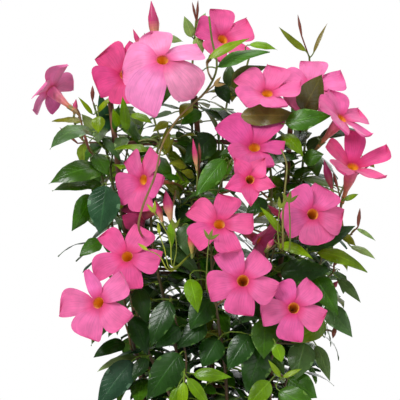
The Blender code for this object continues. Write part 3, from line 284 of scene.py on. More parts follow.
# Collects ring surfaces of one piece: points, faces, a colour a face and places on the blade.
class Store:

    def __init__(self):
        self.points, self.places, self.faces, self.tones, self.slots = [], [], [], [], []
        self.count = 0

    # Closes rings of shape (rows, round, 3) to a surface with a flat cap at each end.
    def add(self, rings, tone, places=None, slot=0, backTone=None, topCount=None):
        rows, around = rings.shape[:2]
        grid, quads = ringQuads(rows, around, self.count)
        colours = np.broadcast_to(np.array(tone)[:, None] if np.ndim(tone) == 2 else np.array(tone),
                                  (rows - 1, around, 4)).copy()
        if backTone is not None:
            colours[:, topCount - 1:] = backTone
        self.faces += quads.tolist() + [grid[0, ::-1].tolist(), grid[-1].tolist()]
        self.tones += [colours.reshape(-1, 4), colours[0, :1], colours[-1, :1]]
        self.slots.append(np.full(len(quads) + 2, slot))
        self.points.append(rings.reshape(-1, 3))
        self.places.append(np.zeros((rows * around, 2)) if places is None else places.reshape(-1, 2))
        self.count += rows * around

    # The mesh: all surfaces added so far, with their tones and places on the blade, smooth but
    # where two faces meet by more than the sharp angle.
    def mesh(self, name, finishes, sharp=50):
        mesh = bpy.data.meshes.new(name)
        mesh.from_pydata((np.vstack(self.points) * mm).tolist(), [], self.faces)
        for finish in finishes:
            mesh.materials.append(materials[finish])
        mesh.polygons.foreach_set("material_index", np.concatenate(self.slots).astype(np.int32))
        corner = np.empty(len(mesh.loops), dtype=np.int32)
        mesh.loops.foreach_get("vertex_index", corner)
        total = np.empty(len(mesh.polygons), dtype=np.int32)
        mesh.polygons.foreach_get("loop_total", total)
        layer = mesh.uv_layers.new(name="blade")
        layer.data.foreach_set("uv", np.vstack(self.places)[corner].ravel())
        tone = mesh.attributes.new("tone", "FLOAT_COLOR", "CORNER")
        tone.data.foreach_set("color", np.repeat(np.vstack(self.tones), total, axis=0).ravel())
        mesh.shade_smooth()
        mesh.set_sharp_from_angle(angle=math.radians(sharp))
        mesh.validate()
        return mesh

    # The mesh as a piece that stands in for nodes of the frame.
    def finish(self, name, finishes, nodes, recordSlot, sharp=50):
        return addPiece(name, self.mesh(name, finishes, sharp), nodes)


# Vectors along the last axis brought to length one.
def unit(vector):
    return vector / np.linalg.norm(vector, axis=-1, keepdims=True)


# A smooth curve through the points, with a point about every step: between two knots a cubic whose
# slope at each is half the line from the knot before to the knot after.
def smoothCurve(points, step):
    points = [np.array(point, dtype=float) for point in points]
    if len(points) == 2:
        return np.array(points)
    ends = [2 * points[0] - points[1]] + points + [2 * points[-1] - points[-2]]
    result = [points[:1]]
    for a, b, c, d in zip(ends, ends[1:], ends[2:], ends[3:]):
        count = max(1, round(np.linalg.norm(c - b) / step))
        t = (np.arange(1, count + 1) / count)[:, None]
        square = 2 * a - 5 * b + 4 * c - d
        cube = 3 * b - a - 3 * c + d
        result.append((2 * b + (c - a) * t + square * t**2 + cube * t**3) / 2)
    return np.vstack(result)


# Circles carried along a path: centre plus radius times the cosine and the sine of the turn, along
# two directions across the path. Slight swellings, the knobs, keep a stick from looking turned.
def tubeRings(path, radii, sides, knobs=0.0, seed=0.0):
    path = np.asarray(path, dtype=float)
    tangent = unit(np.gradient(path, axis=0))
    guide = np.eye(3)[np.argmin(np.abs(tangent).mean(axis=0))]
    across = unit(np.cross(tangent, guide))
    other = np.cross(tangent, across)
    turn = np.arange(sides) * 2 * np.pi / sides
    radii = np.broadcast_to(np.asarray(radii, dtype=float), (len(path),))[:, None, None]
    swell = 1 + knobs * np.sin(3 * turn + seed + path[:, 2:] * 0.05)[..., None]
    ring = np.cos(turn)[None, :, None] * across[:, None] + np.sin(turn)[None, :, None] * other[:, None]
    return path[:, None] + radii * swell * ring


# Where the plant's parts are: the same plan as the solids have

# Shoots are lines of points from the foot up. Tips are small unopened buds: foot, tip, width. Leaves:
# x and z of the foot, x and z of the tip, width, y of both, roll, bend, tone. Pairs of leaves: number
# of the shoot, share of its length from and to, how many pairs, length.
vinePlan = {
    "vine_left_outer": {"shoots": [
        [(-44, -16, 163), (-58, -24, 200), (-74, -30, 245), (-86, -32, 300), (-94, -28, 350),
         (-104, -24, 405), (-114, -20, 440), (-124, -17, 456), (-135, -15, 467)],
        [(-95, -27, 355), (-108, -34, 385), (-118, -33, 404)],
        [(-120, -18, 450), (-133, -14, 468), (-137, -13, 480)],
    ], "tips": [
        ((-133, -24, 457), (-151, -28, 473), 3.4), ((-121, -26, 449), (-128, -30, 472), 3.4),
        ((-131, -5, 486), (-139, -3, 498), 3.0),
    ], "leaves": [
        (-119, 465, -161, 447, 24, -24, -34, 52, 95, "grey"),
        (-129, 480, -159, 479, 11, -22, -26, 55, 20, "olive"),
        (-107, 430, -161, 416, 27, -34, -46, 35, 70, "mid"),
        (-108, 414, -158, 409, 22, -30, -38, 52, 50, "mid"),
        (-120, 405, -138, 369, 22, -40, -48, -20, 50, "mid"),
        (-103, 414, -110, 366, 33, -54, -58, 0, 25, "blue"),
        (-109, 360, -130, 344, 18, -44, -52, 30, 20, "mid"),
        (-99, 376, -127, 384, 18, -28, -22, 20, 25, "grey"),
        (-117, 446, -103, 424, 18, -26, -36, 20, 40, "mid"),
    ], "pairs": [(0, 0.1, 0.5, 2, 50)]},
    "vine_left_inner": {"shoots": [
        [(-36, 22, 163), (-56, 24, 220), (-76, 22, 290), (-90, 18, 360), (-101, 14, 430), (-110, 14, 468),
         (-118, 4, 498)],
        [(-97, 15, 405), (-86, 17, 440), (-83, 15, 463), (-82, 2, 480), (-82, -8, 490)],
        [(-101, 14, 430), (-96, 24, 470), (-88, 26, 500)],
    ], "tips": [
        ((-119, 2, 501), (-119, 2, 516), 5.0),
    ], "leaves": [
        (-104, 471, -112, 510, 15, -2, 0, 25, 12, "blue"),
        (-112, 484, -112, 467, 14, -30, -34, 8, 10, "lime"),
        (-119, 487, -133, 504, 5, -2, -4, 20, 15, "lime"),
        (-114, 489, -96, 506, 6, -2, -6, 25, 40, "lime"),
        (-116, 470, -130, 487, 13, 0, 4, 20, 15, "pale"),
        (-84, 470, -88, 504, 11, -20, -24, 15, 15, "bright"),
        (-80, 486, -57, 476, 12, -22, -28, 45, 45, "bright"),
        (-92, 474, -98, 492, 9, -10, -12, 15, 15, "bright"),
        (-108, 462, -89, 438, 9, -14, -20, 20, 50, "grey"),
        (-98, 470, -92, 496, 8, -8, -10, 20, 15, "mid"),
    ], "pairs": [(0, 0.25, 0.7, 2, 46)]},
    "vine_arching": {"shoots": [
        [(-14, -8, 163), (-26, -20, 215), (-42, -32, 285), (-56, -38, 345), (-59, -40, 390),
         (-56, -42, 430), (-49, -42, 458), (-25, -38, 489), (-4, -34, 509), (7, -34, 533), (2, -36, 560),
         (-1, -34, 584)],
        [(-49, -42, 458), (-58, -32, 490), (-60, -26, 520), (-57, -24, 545)],
    ], "tips": [
        ((-65, -26, 550), (-66, -26, 568), 3.6), ((-61, -24, 550), (-63, -20, 561), 3.0),
    ], "leaves": [
        (-49, 562, -27, 560, 11, -14, -10, 40, 45, "pale"),
        (-1, 541, 39, 561, 10, -52, -48, 25, 35, "lime"),
        (8, 533, 60, 548, 17, -42, -36, 42, 50, "mid"),
        (-42, 478, -57, 468, 10, -46, -52, 30, 20, "olive"),
        (-44, 450, -42, 474, 9, -54, -56, 20, 20, "olive"),
        (-46, 446, -36, 463, 7, -50, -52, 20, 20, "olive"),
        (-54, 440, -64, 452, 6, -46, -50, 20, 20, "mid"),
        (-20, 496, -29, 480, 14, -36, -46, 20, 40, "olive"),
    ], "pairs": [(0, 0.1, 0.35, 1, 48)]},
    "vine_crossing": {"shoots": [
        [(8, -14, 163), (0, -14, 230), (-8, -14, 300), (-14, -14, 360), (-20, -16, 405), (-36, -20, 434),
         (-55, -20, 460), (-72, -16, 459)],
        [(-10, -14, 330), (-34, -18, 348), (-46, -24, 352), (-62, -28, 352)],
        [(-20, -16, 405), (-34, -30, 416), (-48, -34, 418)],
    ], "leaves": [
        (-57, 452, -84, 440, 12, -28, -34, 45, 35, "mid"),
        (-26, 409, -68, 406, 14, -96, -104, 35, 60, "bright"),
        (-30, 420, -50, 423, 8, -40, -44, 40, 20, "mid"),
        (-24, 434, -41, 437, 11, -34, -42, 35, 30, "olive"),
        (-16, 424, -29, 429, 10, -34, -40, 30, 30, "olive"),
        (-48, 345, -64, 335, 7, -60, -66, 30, 50, "lime"),
        (-72, 312, -62, 277, 19, -60, -72, 5, 35, "dark"),
        (-30, 392, -16, 372, 13, -30, -40, 10, 25, "dark"),
    ], "pairs": [(0, 0.15, 0.5, 2, 46)]},
    "vine_middle": {"shoots": [
        [(-2, 26, 163), (-2, 24, 240), (-10, 20, 320), (-16, 16, 400), (-18, 14, 470), (-18, 8, 530),
         (-14, 4, 582)],
        [(-16, 16, 410), (-3, 15, 424), (8, 4, 440), (9, -8, 460)],
    ], "tips": [
        ((-14, 4, 583), (-18, 2, 601), 2.8), ((-13, 4, 583), (-12, 2, 603), 3.0),
    ], "leaves": [
        (-18, 565, -26, 586, 11, -2, -4, 5, 15, "pale"),
        (-13, 572, -5, 590, 10, 4, 4, 15, 15, "pale"),
        (-14, 564, -7, 548, 12, -6, -10, 10, 15, "pale"),
        (4, 464, -26, 437, 28, -30, -38, 8, 20, "dark"),
        (14, 450, 3, 410, 26, -22, -30, 5, 20, "mid"),
        (-10, 492, -30, 478, 15, 0, -12, 20, 30, "mid"),
    ], "pairs": [(0, 0.2, 0.8, 4, 46)]},
    "vine_front_middle": {"shoots": [
        [(18, -24, 163), (16, -40, 220), (8, -52, 280), (2, -56, 330), (2, -52, 380), (14, -44, 425),
         (28, -38, 450)],
        [(3, -55, 345), (-14, -62, 352), (-30, -66, 370), (-38, -68, 380)],
        [(2, -52, 385), (-8, -54, 400), (-14, -56, 414)],
    ], "tips": [
        ((-10, -58, 440), (-11, -58, 457), 3.6),
    ], "leaves": [
        (14, 440, -14, 404, 22, -62, -72, 12, 20, "mid"),
        (-22, 376, -22, 345, 24, -66, -72, 6, 20, "grey"),
        (-39, 377, -38, 352, 8, -82, -86, 10, 15, "bright"),
        (-20, 322, -12, 289, 18, -82, -92, 10, 40, "bright"),
        (0, 302, -20, 272, 27, -70, -76, 10, 20, "dark"),
        (-6, 278, -34, 253, 22, -78, -86, 8, 30, "dark"),
        (20, 352, 34, 338, 14, -58, -64, 20, 30, "dark"),
    ]},
    "vine_right_inner": {"shoots": [
        [(36, -10, 163), (44, -16, 220), (52, -22, 290), (58, -26, 350), (62, -26, 410), (56, -22, 460),
         (40, -14, 495), (18, -8, 512)],
        [(55, -24, 320), (64, -44, 350), (69, -56, 375), (74, -60, 400)],
        [(60, -25, 435), (74, -36, 462)],
        [(30, -11, 503), (36, -8, 530), (40, -8, 545)],
    ], "leaves": [
        (21, 515, 57, 534, 21, -22, -30, 30, 60, "bronze"),
        (19, 515, 20, 538, 13, -14, -12, 10, 15, "grey"),
        (8, 518, 20, 496, 15, -20, -28, 10, 25, "dark"),
        (31, 484, 88, 484, 22, -50, -54, 190, -30, "bronze"),
        (73, 465, 93, 443, 15, -46, -56, 20, 70, "bright"),
        (68, 370, 48, 394, 8, -74, -80, 20, 30, "bright"),
        (68, 356, 101, 342, 12, -78, -90, 28, 65, "bright"),
        (74, 384, 103, 361, 9, -82, -82, 45, 50, "bright"),
        (40, 556, 68, 551, 10, -26, -22, 40, 40, "bright"),
        (56, 400, 36, 386, 18, -44, -52, 20, 25, "dark"),
        (70, 328, 120, 330, 25, -52, -58, 10, 20, "dark"),
    ], "pairs": [(0, 0.15, 0.5, 2, 46)]},
    "vine_right_outer": {"shoots": [
        [(46, 22, 163), (62, 20, 230), (78, 16, 300), (88, 14, 370), (94, 14, 430), (99, 23, 475),
         (103, 22, 512), (101, 4, 546)],
        [(92, 12, 410), (102, -8, 440), (112, -20, 462)],
        [(94, 12, 430), (84, -6, 425), (78, -18, 428)],
        [(96, 12, 455), (90, -16, 474), (84, -34, 482)],
    ], "tips": [
        ((93, -2, 566), (89, 0, 588), 3.2),
    ], "leaves": [
        (75, 476, 121, 484, 22, -62, -66, 20, 25, "mid"),
        (93, 491, 112, 528, 29, -74, -68, 172, 10, "bronze"),
        (110, 464, 156, 468, 17, -34, -24, 50, 40, "dark"),
        (98, 451, 116, 464, 14, -18, -16, 10, 20, "grey"),
        (94, 440, 114, 446, 17, -30, -36, 15, 25, "mid"),
        (84, 424, 105, 432, 12, -24, -30, 30, 20, "mid"),
        (105, 549, 119, 579, 5, -2, 2, 35, 20, "brown"),
        (97, 551, 70, 575, 8, -2, -4, 25, -30, "olive"),
    ], "pairs": [(0, 0.2, 0.85, 3, 46)]},
    "vine_right_far": {"shoots": [
        [(56, -18, 163), (76, -26, 215), (92, -32, 270), (106, -34, 320), (116, -34, 360),
         (128, -32, 398), (136, -30, 418)],
        [(112, -34, 345), (126, -28, 358), (143, -26, 366)],
        [(104, -34, 315), (118, -30, 322), (126, -28, 330)],
        [(110, -34, 338), (98, -44, 348)],
    ], "tips": [
        ((127, -56, 412), (122, -58, 428), 4.0), ((161, -40, 436), (166, -42, 450), 4.6),
        ((148, -38, 373), (150, -40, 392), 4.6), ((124, -32, 334), (129, -34, 342), 4.4),
    ], "leaves": [
        (92, 422, 127, 411, 13, -28, -34, 50, 35, "grey"),
        (107, 348, 156, 328, 17, -58, -64, 35, 60, "bright"),
        (97, 352, 145, 374, 20, -50, -44, 10, 25, "dark"),
        (132, 366, 146, 354, 9, -32, -38, 20, 25, "olive"),
        (148, 371, 166, 359, 5, -28, -34, 20, 45, "pale"),
        (142, 353, 167, 340, 9, -20, -24, 40, 45, "pale"),
        (114, 321, 139, 318, 9, -20, -16, 60, 45, "grey"),
        (128, 322, 151, 297, 11, -30, -36, 15, 55, "grey"),
        (103, 326, 127, 285, 24, -46, -60, 10, 35, "mid"),
        (130, 340, 147, 332, 7, -22, -24, 50, 20, "bright"),
        (154, 444, 165, 432, 9, -30, -34, 20, 20, "olive"),
        (136, 398, 150, 404, 6, -28, -30, 20, 20, "bright"),
    ], "pairs": [(0, 0.1, 0.4, 1, 46)]},
    "vine_lower_left": {"shoots": [
        [(-22, -34, 163), (-40, -50, 205), (-60, -52, 245), (-72, -48, 285), (-84, -48, 315)],
        [(-44, -50, 214), (-64, -44, 236), (-80, -36, 252)],
        [(-30, -42, 182), (-26, -62, 215), (-24, -66, 245), (-34, -64, 280), (-40, -62, 305)],
    ], "leaves": [
        (-85, 257, -116, 243, 17, -44, -52, 30, 70, "dark"),
        (-74, 243, -113, 228, 12, -36, -42, 48, 50, "pale"),
        (-78, 240, -112, 194, 29, -60, -70, 10, 25, "blue"),
        (-76, 236, -88, 216, 16, -46, -50, 10, 20, "pale"),
        (-63, 243, -77, 222, 14, -66, -72, 12, 25, "dark"),
        (-30, 248, -62, 203, 32, -80, -90, 8, 25, "dark"),
        (-24, 240, -34, 212, 16, -52, -58, 10, 25, "dark"),
        (-40, 300, -58, 256, 24, -80, -90, 14, 25, "dark"),
        (-76, 284, -62, 246, 22, -56, -64, 8, 25, "dark"),
        (-16, 229, 21, 226, 14, -92, -96, 20, 30, "bright"),
        (-22, 225, 0, 196, 12, -96, -102, 12, 20, "bright"),
        (-26, 222, -28, 189, 11, -112, -116, 10, 20, "bright"),
        (-32, 216, -40, 196, 9, -104, -106, 10, 20, "bright"),
        (-30, 274, -54, 254, 20, -70, -76, 12, 20, "dark"),
    ]},
    "vine_lower_right": {"shoots": [
        [(30, -38, 163), (46, -56, 205), (60, -62, 240), (68, -56, 268), (74, -44, 282)],
        [(56, -61, 232), (76, -64, 224)],
        [(66, -61, 258), (94, -52, 258), (112, -44, 270), (124, -38, 268)],
        [(50, -58, 215), (44, -66, 250), (42, -66, 275)],
    ], "tips": [
        ((123, -38, 262), (126, -38, 276), 5.0),
    ], "leaves": [
        (116, 294, 142, 263, 22, -34, -46, 12, 45, "grey"),
        (114, 278, 80, 258, 22, -58, -66, 12, 20, "spotted"),
        (55, 282, 53, 243, 28, -72, -80, 6, 30, "mid"),
        (50, 255, 34, 211, 33, -84, -92, 4, 20, "dark"),
        (58, 222, 36, 197, 20, -100, -106, 8, 20, "bright"),
        (69, 226, 57, 243, 6, -90, -94, 15, 15, "lime"),
        (72, 226, 90, 234, 6, -90, -92, 30, 15, "lime"),
        (68, 212, 108, 190, 24, -86, -96, 12, 25, "mid"),
        (94, 258, 85, 222, 28, -60, -68, 8, 20, "grey"),
        (78, 222, 106, 204, 28, -62, -70, 14, 20, "mid"),
        (106, 255, 119, 220, 14, -52, -60, 12, 35, "grey"),
        (64, 258, 70, 240, 13, -88, -92, 8, 20, "bright"),
        (40, 266, 18, 232, 26, -70, -78, 8, 20, "dark"),
        (8, 262, -8, 234, 26, -58, -66, 8, 20, "dark"),
        (62, 278, 72, 262, 12, -66, -74, 12, 20, "mid"),
    ]},
    "vine_back_left": {"shoots": [
        [(-24, 42, 163), (-46, 58, 230), (-62, 66, 310), (-72, 62, 390), (-74, 48, 450)],
        [(-62, 66, 310), (-92, 54, 340), (-112, 40, 360)],
    ], "pairs": [(0, 0.2, 1.0, 5, 54), (1, 0.5, 1.0, 2, 48)]},
    "vine_back_middle": {"shoots": [
        [(10, 48, 163), (14, 66, 240), (10, 78, 320), (12, 74, 400), (14, 54, 470), (20, 34, 515)],
        [(10, 78, 320), (-16, 82, 360), (-26, 70, 410)],
    ], "pairs": [(0, 0.2, 1.0, 6, 54), (1, 0.5, 1.0, 2, 48)]},
    "vine_back_right": {"shoots": [
        [(38, 42, 163), (58, 56, 230), (76, 64, 310), (92, 56, 390), (104, 36, 450)],
        [(76, 64, 310), (104, 52, 340), (126, 34, 352)],
    ], "pairs": [(0, 0.2, 1.0, 5, 54), (1, 0.5, 1.0, 2, 48)]},
}

# Vine, throat, turn, tilt, roll, radius, half width of a lobe, flare, curl
bloomPlan = [
    ("vine_left_outer", (-160, -22, 510), -122, 36, 10, 30, 15, 14, 40),
    ("vine_left_inner", (-86, -8, 527), -14, 4, -10, 34, 17, 14, 20),
    ("vine_arching", (-47, -80, 538), 4, 36, 31, 49, 23, -2, 38),
    ("vine_arching", (13, 4, 563), 22, 28, 20, 34, 17, 24, 20),
    ("vine_right_inner", (57, -52, 506), 2, 46, 0, 36, 18, 26, 25),
    ("vine_right_outer", (103, -20, 513), 4, 36, 18, 36, 18, 16, 30),
    ("vine_right_outer", (131, -62, 481), 50, 43, 4, 34, 16, 18, 20),
    ("vine_right_far", (142, -58, 433), 18, 50, 8, 39, 17, 32, 10),
    ("vine_right_inner", (44, -62, 452), 0, 40, -3, 39, 19, 20, 25),
    ("vine_front_middle", (39, -98, 420), 4, 8, -17, 28, 11, 10, 20),
    ("vine_crossing", (-66, -68, 420), -45, 5, -10, 34, 17, 12, 25),
    ("vine_front_middle", (9, -92, 376), 2, 32, 4, 36, 17, 10, 25),
    ("vine_right_inner", (101, -88, 386), 8, 12, 63, 36, 18.5, 4, 25),
    ("vine_crossing", (-82, -74, 344), -10, 22, -7, 36, 16.5, 8, 25),
    ("vine_lower_left", (-110, -92, 299), -26, 16, -30, 40, 18, 8, 25),
    ("vine_front_middle", (32, -104, 321), 0, 8, -19, 39, 17, 6, 20),
    ("vine_lower_right", (82, -96, 294), 2, 8, -21, 36, 16.5, 6, 20),
    ("vine_crossing", (-66, -44, 384), -120, -20, 0, 24, 10, 50, 15),
    ("vine_right_inner", (48, -66, 360), 68, -30, 20, 27, 13, 24, 20),
]

# Vine, foot, tip, width
budPlan = [
    ("vine_arching", (-54, -30, 556), (-59, -32, 600), 12),
    ("vine_arching", (-68, -40, 549), (-77, -42, 571), 6),
    ("vine_left_outer", (-137, -13, 486), (-135, -14, 502), 6),
    ("vine_front_middle", (-13, -60, 429), (-17, -64, 461), 6),
    ("vine_front_middle", (-39, -78, 380), (-44, -84, 410), 11),
    ("vine_front_middle", (-47, -72, 378), (-54, -76, 400), 7),
    ("vine_front_middle", (-18, -82, 347), (-19, -88, 373), 8),
    ("vine_right_inner", (72, -64, 382), (57, -66, 395), 7),
    ("vine_right_inner", (56, -84, 352), (63, -88, 362), 6),
    ("vine_right_far", (121, -60, 411), (113, -64, 440), 9),
    ("vine_right_far", (121, -38, 311), (128, -40, 319), 6),
]

# How the solids' leaves are found, in mm but for the tries: how near a tip counts as the same, how
# far apart the points of the shoots' lines are, coarse to find places by and fine for the stems, and
# how much of a line's end no side shoot begins on.
findPlan = {"tries": 24, "near": 0.04, "coarse": 34.0, "fine": 7.0, "endFree": 2.0}


# The nearest point of the shoots' centre lines, short of their very ends.
def nearestOn(paths, point):
    best = None
    for path in paths:
        run = np.diff(path, axis=0)
        length = np.linalg.norm(run, axis=1)
        most = np.ones(len(run))
        most[-1] = 1 - findPlan["endFree"] / length[-1]
        share = np.clip(((point - path[:-1]) * run).sum(axis=1) / length**2, 0, most)
        spots = path[:-1] + share[:, None] * run
        gaps = np.linalg.norm(spots - point, axis=1)
        pick = int(np.argmin(gaps))
        if best is None or gaps[pick] < best[0]:
            best = (gaps[pick], spots[pick])
    return best[1]


# The shoots' lines, coarse and fine. Each side shoot begins on an earlier one.
def shootPaths(shoots):
    coarse, fine = [], []
    for points in shoots:
        if coarse:
            points = [tuple(nearestOn(coarse, np.array(points[0], dtype=float)))] + points[1:]
        coarse.append(smoothCurve(points, findPlan["coarse"]))
        fine.append(smoothCurve(points, findPlan["fine"]))
    return coarse, fine


# The blade's upper normal, rolled about its chord from facing the viewer.
def bladeFrame(foot, tip, roll):
    chord = unit(tip - foot)
    facing = np.array((0.0, -1.0, 0.0))
    facing = unit(facing - chord * np.dot(facing, chord))
    side = np.cross(chord, facing)
    angle = math.radians(roll)
    upward = 1.0 if side[2] >= 0 else -1.0
    return math.cos(angle) * facing + upward * math.sin(angle) * side


# The places that a planned leaf was tried in, in order.
def plannedTries(key, row):
    x0, z0, x1, z1, width, y0, y1, roll, bend = row[:9]
    draw = random.Random(key)
    for number in range(findPlan["tries"]):
        spread = 0.0 if number == 0 else 3.0 + 1.3 * number
        dy = draw.uniform(-1, 1) * spread * 1.6
        dip = draw.uniform(-1, 1) * spread * 0.5
        dx = draw.uniform(-1, 1) * spread * 0.2
        dz = draw.uniform(-1, 1) * spread * 0.2
        turn = draw.uniform(-1, 1) * spread
        foot = np.array((x0 + dx, y0 + dy, z0 + dz))
        tip = np.array((x1 + dx, y1 + dy + dip, z1 + dz))
        yield foot, tip, width, bladeFrame(foot, tip, roll + turn), bend


# Places for one leaf of a pair: outward and drooping, its upper face to the sky.
def pairTries(key, spot, tangent, side, length):
    draw = random.Random(key)
    for number in range(findPlan["tries"]):
        angle = side + draw.uniform(-0.5, 0.5) * (1 + 0.25 * number)
        out = np.array((math.cos(angle), math.sin(angle), draw.uniform(-0.35, 0.25)))
        size = length * draw.uniform(0.7, 1.05) * (1 - 0.025 * number)
        foot = spot + unit(out) * draw.uniform(7, 11)
        chord = unit(out + np.array((0, 0, draw.uniform(-0.9, -0.1))))
        tip = foot + chord * size
        normal = np.array((0, 0, 1.0)) + 0.5 * out + 0.2 * tangent
        normal = unit(normal - chord * np.dot(normal, chord))
        yield foot, tip, size * draw.uniform(0.44, 0.52), normal, draw.uniform(25, 60)


# A point and the direction at a share of a path's length.
def pointAlong(path, share):
    steps = np.linalg.norm(np.diff(path, axis=0), axis=1)
    travelled = np.concatenate(([0.0], np.cumsum(steps)))
    target = share * travelled[-1]
    number = int(np.clip(np.searchsorted(travelled, target) - 1, 0, len(steps) - 1))
    run = path[number + 1] - path[number]
    return path[number] + (target - travelled[number]) / steps[number] * run, unit(run)


# Leaves

leafShape = {
    "thick": 0.35, "arch": 1.1, "groove": 0.5, "grooveWide": 0.16,  # mm, the last a share of the half width
    "footRound": 0.62, "tipDrawn": 1.1, "widest": 0.325,  # powers of the outline, its greatest value
    "spacing": 0.92,  # share of a half cosine that spaces the rows, closer at the foot
    "wave": 0.035, "ripple": 0.03,  # shares of the width
    "planned": (13, 9), "further": (7, 5),  # rows and columns of a blade's grid
    "stalk": "#6f8a2c", "stalkWide": (0.75, 0.6),
}
# Upper face, lower face
leafTones = {
    "dark": ("#1c3f0c", "#46682c"),
    "blue": ("#25482e", "#54785a"),
    "mid": ("#38640c", "#5d8536"),
    "grey": ("#43602f", "#6c8e58"),
    "pale": ("#7c9852", "#9ab374"),
    "bright": ("#648800", "#83a32c"),
    "lime": ("#7d9c00", "#9cb028"),
    "olive": ("#6e7812", "#8a9038"),
    "brown": ("#78702c", "#84643a"),
    "bronze": ("#565a16", "#5e5828"),
    "spotted": ("#557810", "#7c7c24"),
}


# Rings round a thin blade. The chord is bent to an arc. The half width is v to the power footRound
# times 1 - v to the power tipDrawn. Across it is arched on each side of a groove, and sines along
# it wave the edge. The ring runs over the top, then under.
def bladeRings(foot, tip, width, normal, bend, rows, columns, seed):
    length = np.linalg.norm(tip - foot)
    chord = (tip - foot) / length
    across = np.cross(chord, normal)
    turn = math.radians(bend) if abs(bend) > 1 else math.radians(1)
    last = leafShape["spacing"] * np.pi
    v = (0.5 - 0.5 * np.cos(np.linspace(0, last, rows))) / (0.5 - 0.5 * math.cos(last))
    angle = turn * (v - 0.5)
    along = (np.sin(angle) + math.sin(turn / 2)) / (2 * math.sin(turn / 2))
    rise = (np.cos(angle) - math.cos(turn / 2)) / (2 * math.sin(turn / 2))
    centre = foot + length * (along[:, None] * chord + rise[:, None] * normal)
    up = np.cos(angle)[:, None] * normal + np.sin(angle)[:, None] * chord
    shape = v ** leafShape["footRound"] * (1 - v) ** leafShape["tipDrawn"]
    half = width / 2 * shape / leafShape["widest"]
    reach = np.maximum(half, 0.7 * (1 - v) ** 3 + 0.12)
    w = np.linspace(-1, 1, columns)
    arch = leafShape["arch"] * np.minimum(1, half / 8)[:, None] * (1 - np.abs(w) ** 1.7)
    groove = np.exp(-(w / leafShape["grooveWide"]) ** 2) * np.minimum(1, half / 6)[:, None]
    arch = arch - leafShape["groove"] * groove
    wave = leafShape["wave"] * width * (np.sin(9 * v + 0.1 * length) * (v > 0))[:, None] * w
    ripple = leafShape["ripple"] * width * np.sin(17 * v + seed)[:, None] * np.abs(w) ** 3 * np.sign(w + 0.01)
    height = arch + wave + ripple * (half / (half.max() + 1e-6))[:, None]
    top = centre[:, None] - across * (reach[:, None] * w)[..., None] + up[:, None] * height[..., None]
    thick = leafShape["thick"] * (1 - np.abs(w[1:-1]) ** 4)
    under = top[:, 1:-1] - up[:, None] * thick[None, :, None]
    rings = np.concatenate((top, under[:, ::-1]), axis=1)
    u = np.concatenate(((w + 1) / 2, ((w + 1) / 2)[1:-1][::-1]))
    places = np.stack(np.broadcast_arrays(u[None, :], v[:, None]), axis=-1)
    return rings, places


# One blade and its curved stalk, in its own shade of the tone.
def drawLeaf(store, spot, row, tone, draw, grid):
    foot, tip, width, normal, bend = row
    top, back = (np.array(hexColour(code)) for code in leafTones[tone])
    light = draw.uniform(0.82, 1.22)
    warm = np.array((draw.uniform(0.9, 1.15), 1.0, draw.uniform(0.85, 1.1), 1.0))
    top, back = top * light * warm, back * light * warm
    rings, places = bladeRings(foot, tip, width, normal, bend, *grid, draw.uniform(0, 6))
    store.add(rings, top, places, 0, back, grid[1])
    chord = unit(tip - foot)
    knee = foot - chord * np.linalg.norm(foot - spot) * 0.45
    t = np.linspace(0, 1, 5)[:, None]
    path = (1 - t) ** 2 * spot + 2 * t * (1 - t) * knee + t**2 * (foot + chord * 2)
    green = np.array(hexColour(leafShape["stalk"])) * light
    store.add(tubeRings(path, np.linspace(*leafShape["stalkWide"], 5), 4), green, slot=1)


# The planned leaves where the solids have them, found by their tips.
def leafPlaces(name, plan, paths, solid):
    near = KDTree(len(solid.data.vertices))
    for vertex in solid.data.vertices:
        near.insert(vertex.co, vertex.index)
    near.balance()
    found = []

    def pick(tries):
        for row in tries:
            if near.find(Vector(row[1] * mm))[2] < findPlan["near"] * mm:
                return row
        return None

    for number, leaf in enumerate(plan.get("leaves", [])):
        found.append((pick(plannedTries(f"{name} {number}", leaf)), leaf[-1]))
    for shoot, start, end, pairs, length in plan.get("pairs", []):
        for number in range(pairs):
            share = start + (end - start) * (number + 0.5) / pairs
            spot, tangent = pointAlong(paths[shoot], share)
            turn = random.Random(f"{name} {shoot} {number}").uniform(0, math.pi)
            for half in (0, 1):
                key = f"{name} {shoot} {number} {half}"
                tries = pairTries(key, spot, tangent, turn + math.pi * half, length)
                found.append((pick(tries), random.Random(key).choice(["dark", "dark", "mid", "blue"])))
    return [row for row in found if row[0] is not None]


# Blooms

# Lengths are in mm for a bloom of this radius, and the girth is the most that a throat grows by
bloomShape = {
    "radius": 36, "lobes": 5, "tube": 42.0, "throat": 5.5, "thick": 0.45, "girth": 1.05, "columns": 9,
    "twist": 11, "wave": 0.03, "ruffle": 0.012, "lift": 1.8, "crease": 1.2, "rolled": 2.2,
    "size": (0.95, 1.04), "length": (0.92, 0.97),  # from and to
    "funnel": (-22.0, -18.0, -14.0, -9.0, -5.0, -2.0),  # heights of a lobe's rows in the throat
    "rows": (0.0, 0.06, 0.13, 0.22, 0.32, 0.43, 0.54, 0.65, 0.75, 0.84, 0.91, 0.96, 0.99, 1.0),  # past it
    "mouth": 0.25,  # share of the streaks' length that lies in the throat
    "cup": (-42.0, -38, -33, -28, -24, -20, -15, -10, -5, -1, -1, -6, -14, -22, -25),  # up and in again
    "outside": 10, "wall": 0.35,  # rows of the cup before it turns in
    "open": 17,  # the first ones face the viewer
    "foot": "#c2793f", "inside": "#f2b62c", "sepal": "#6f7a34",
}
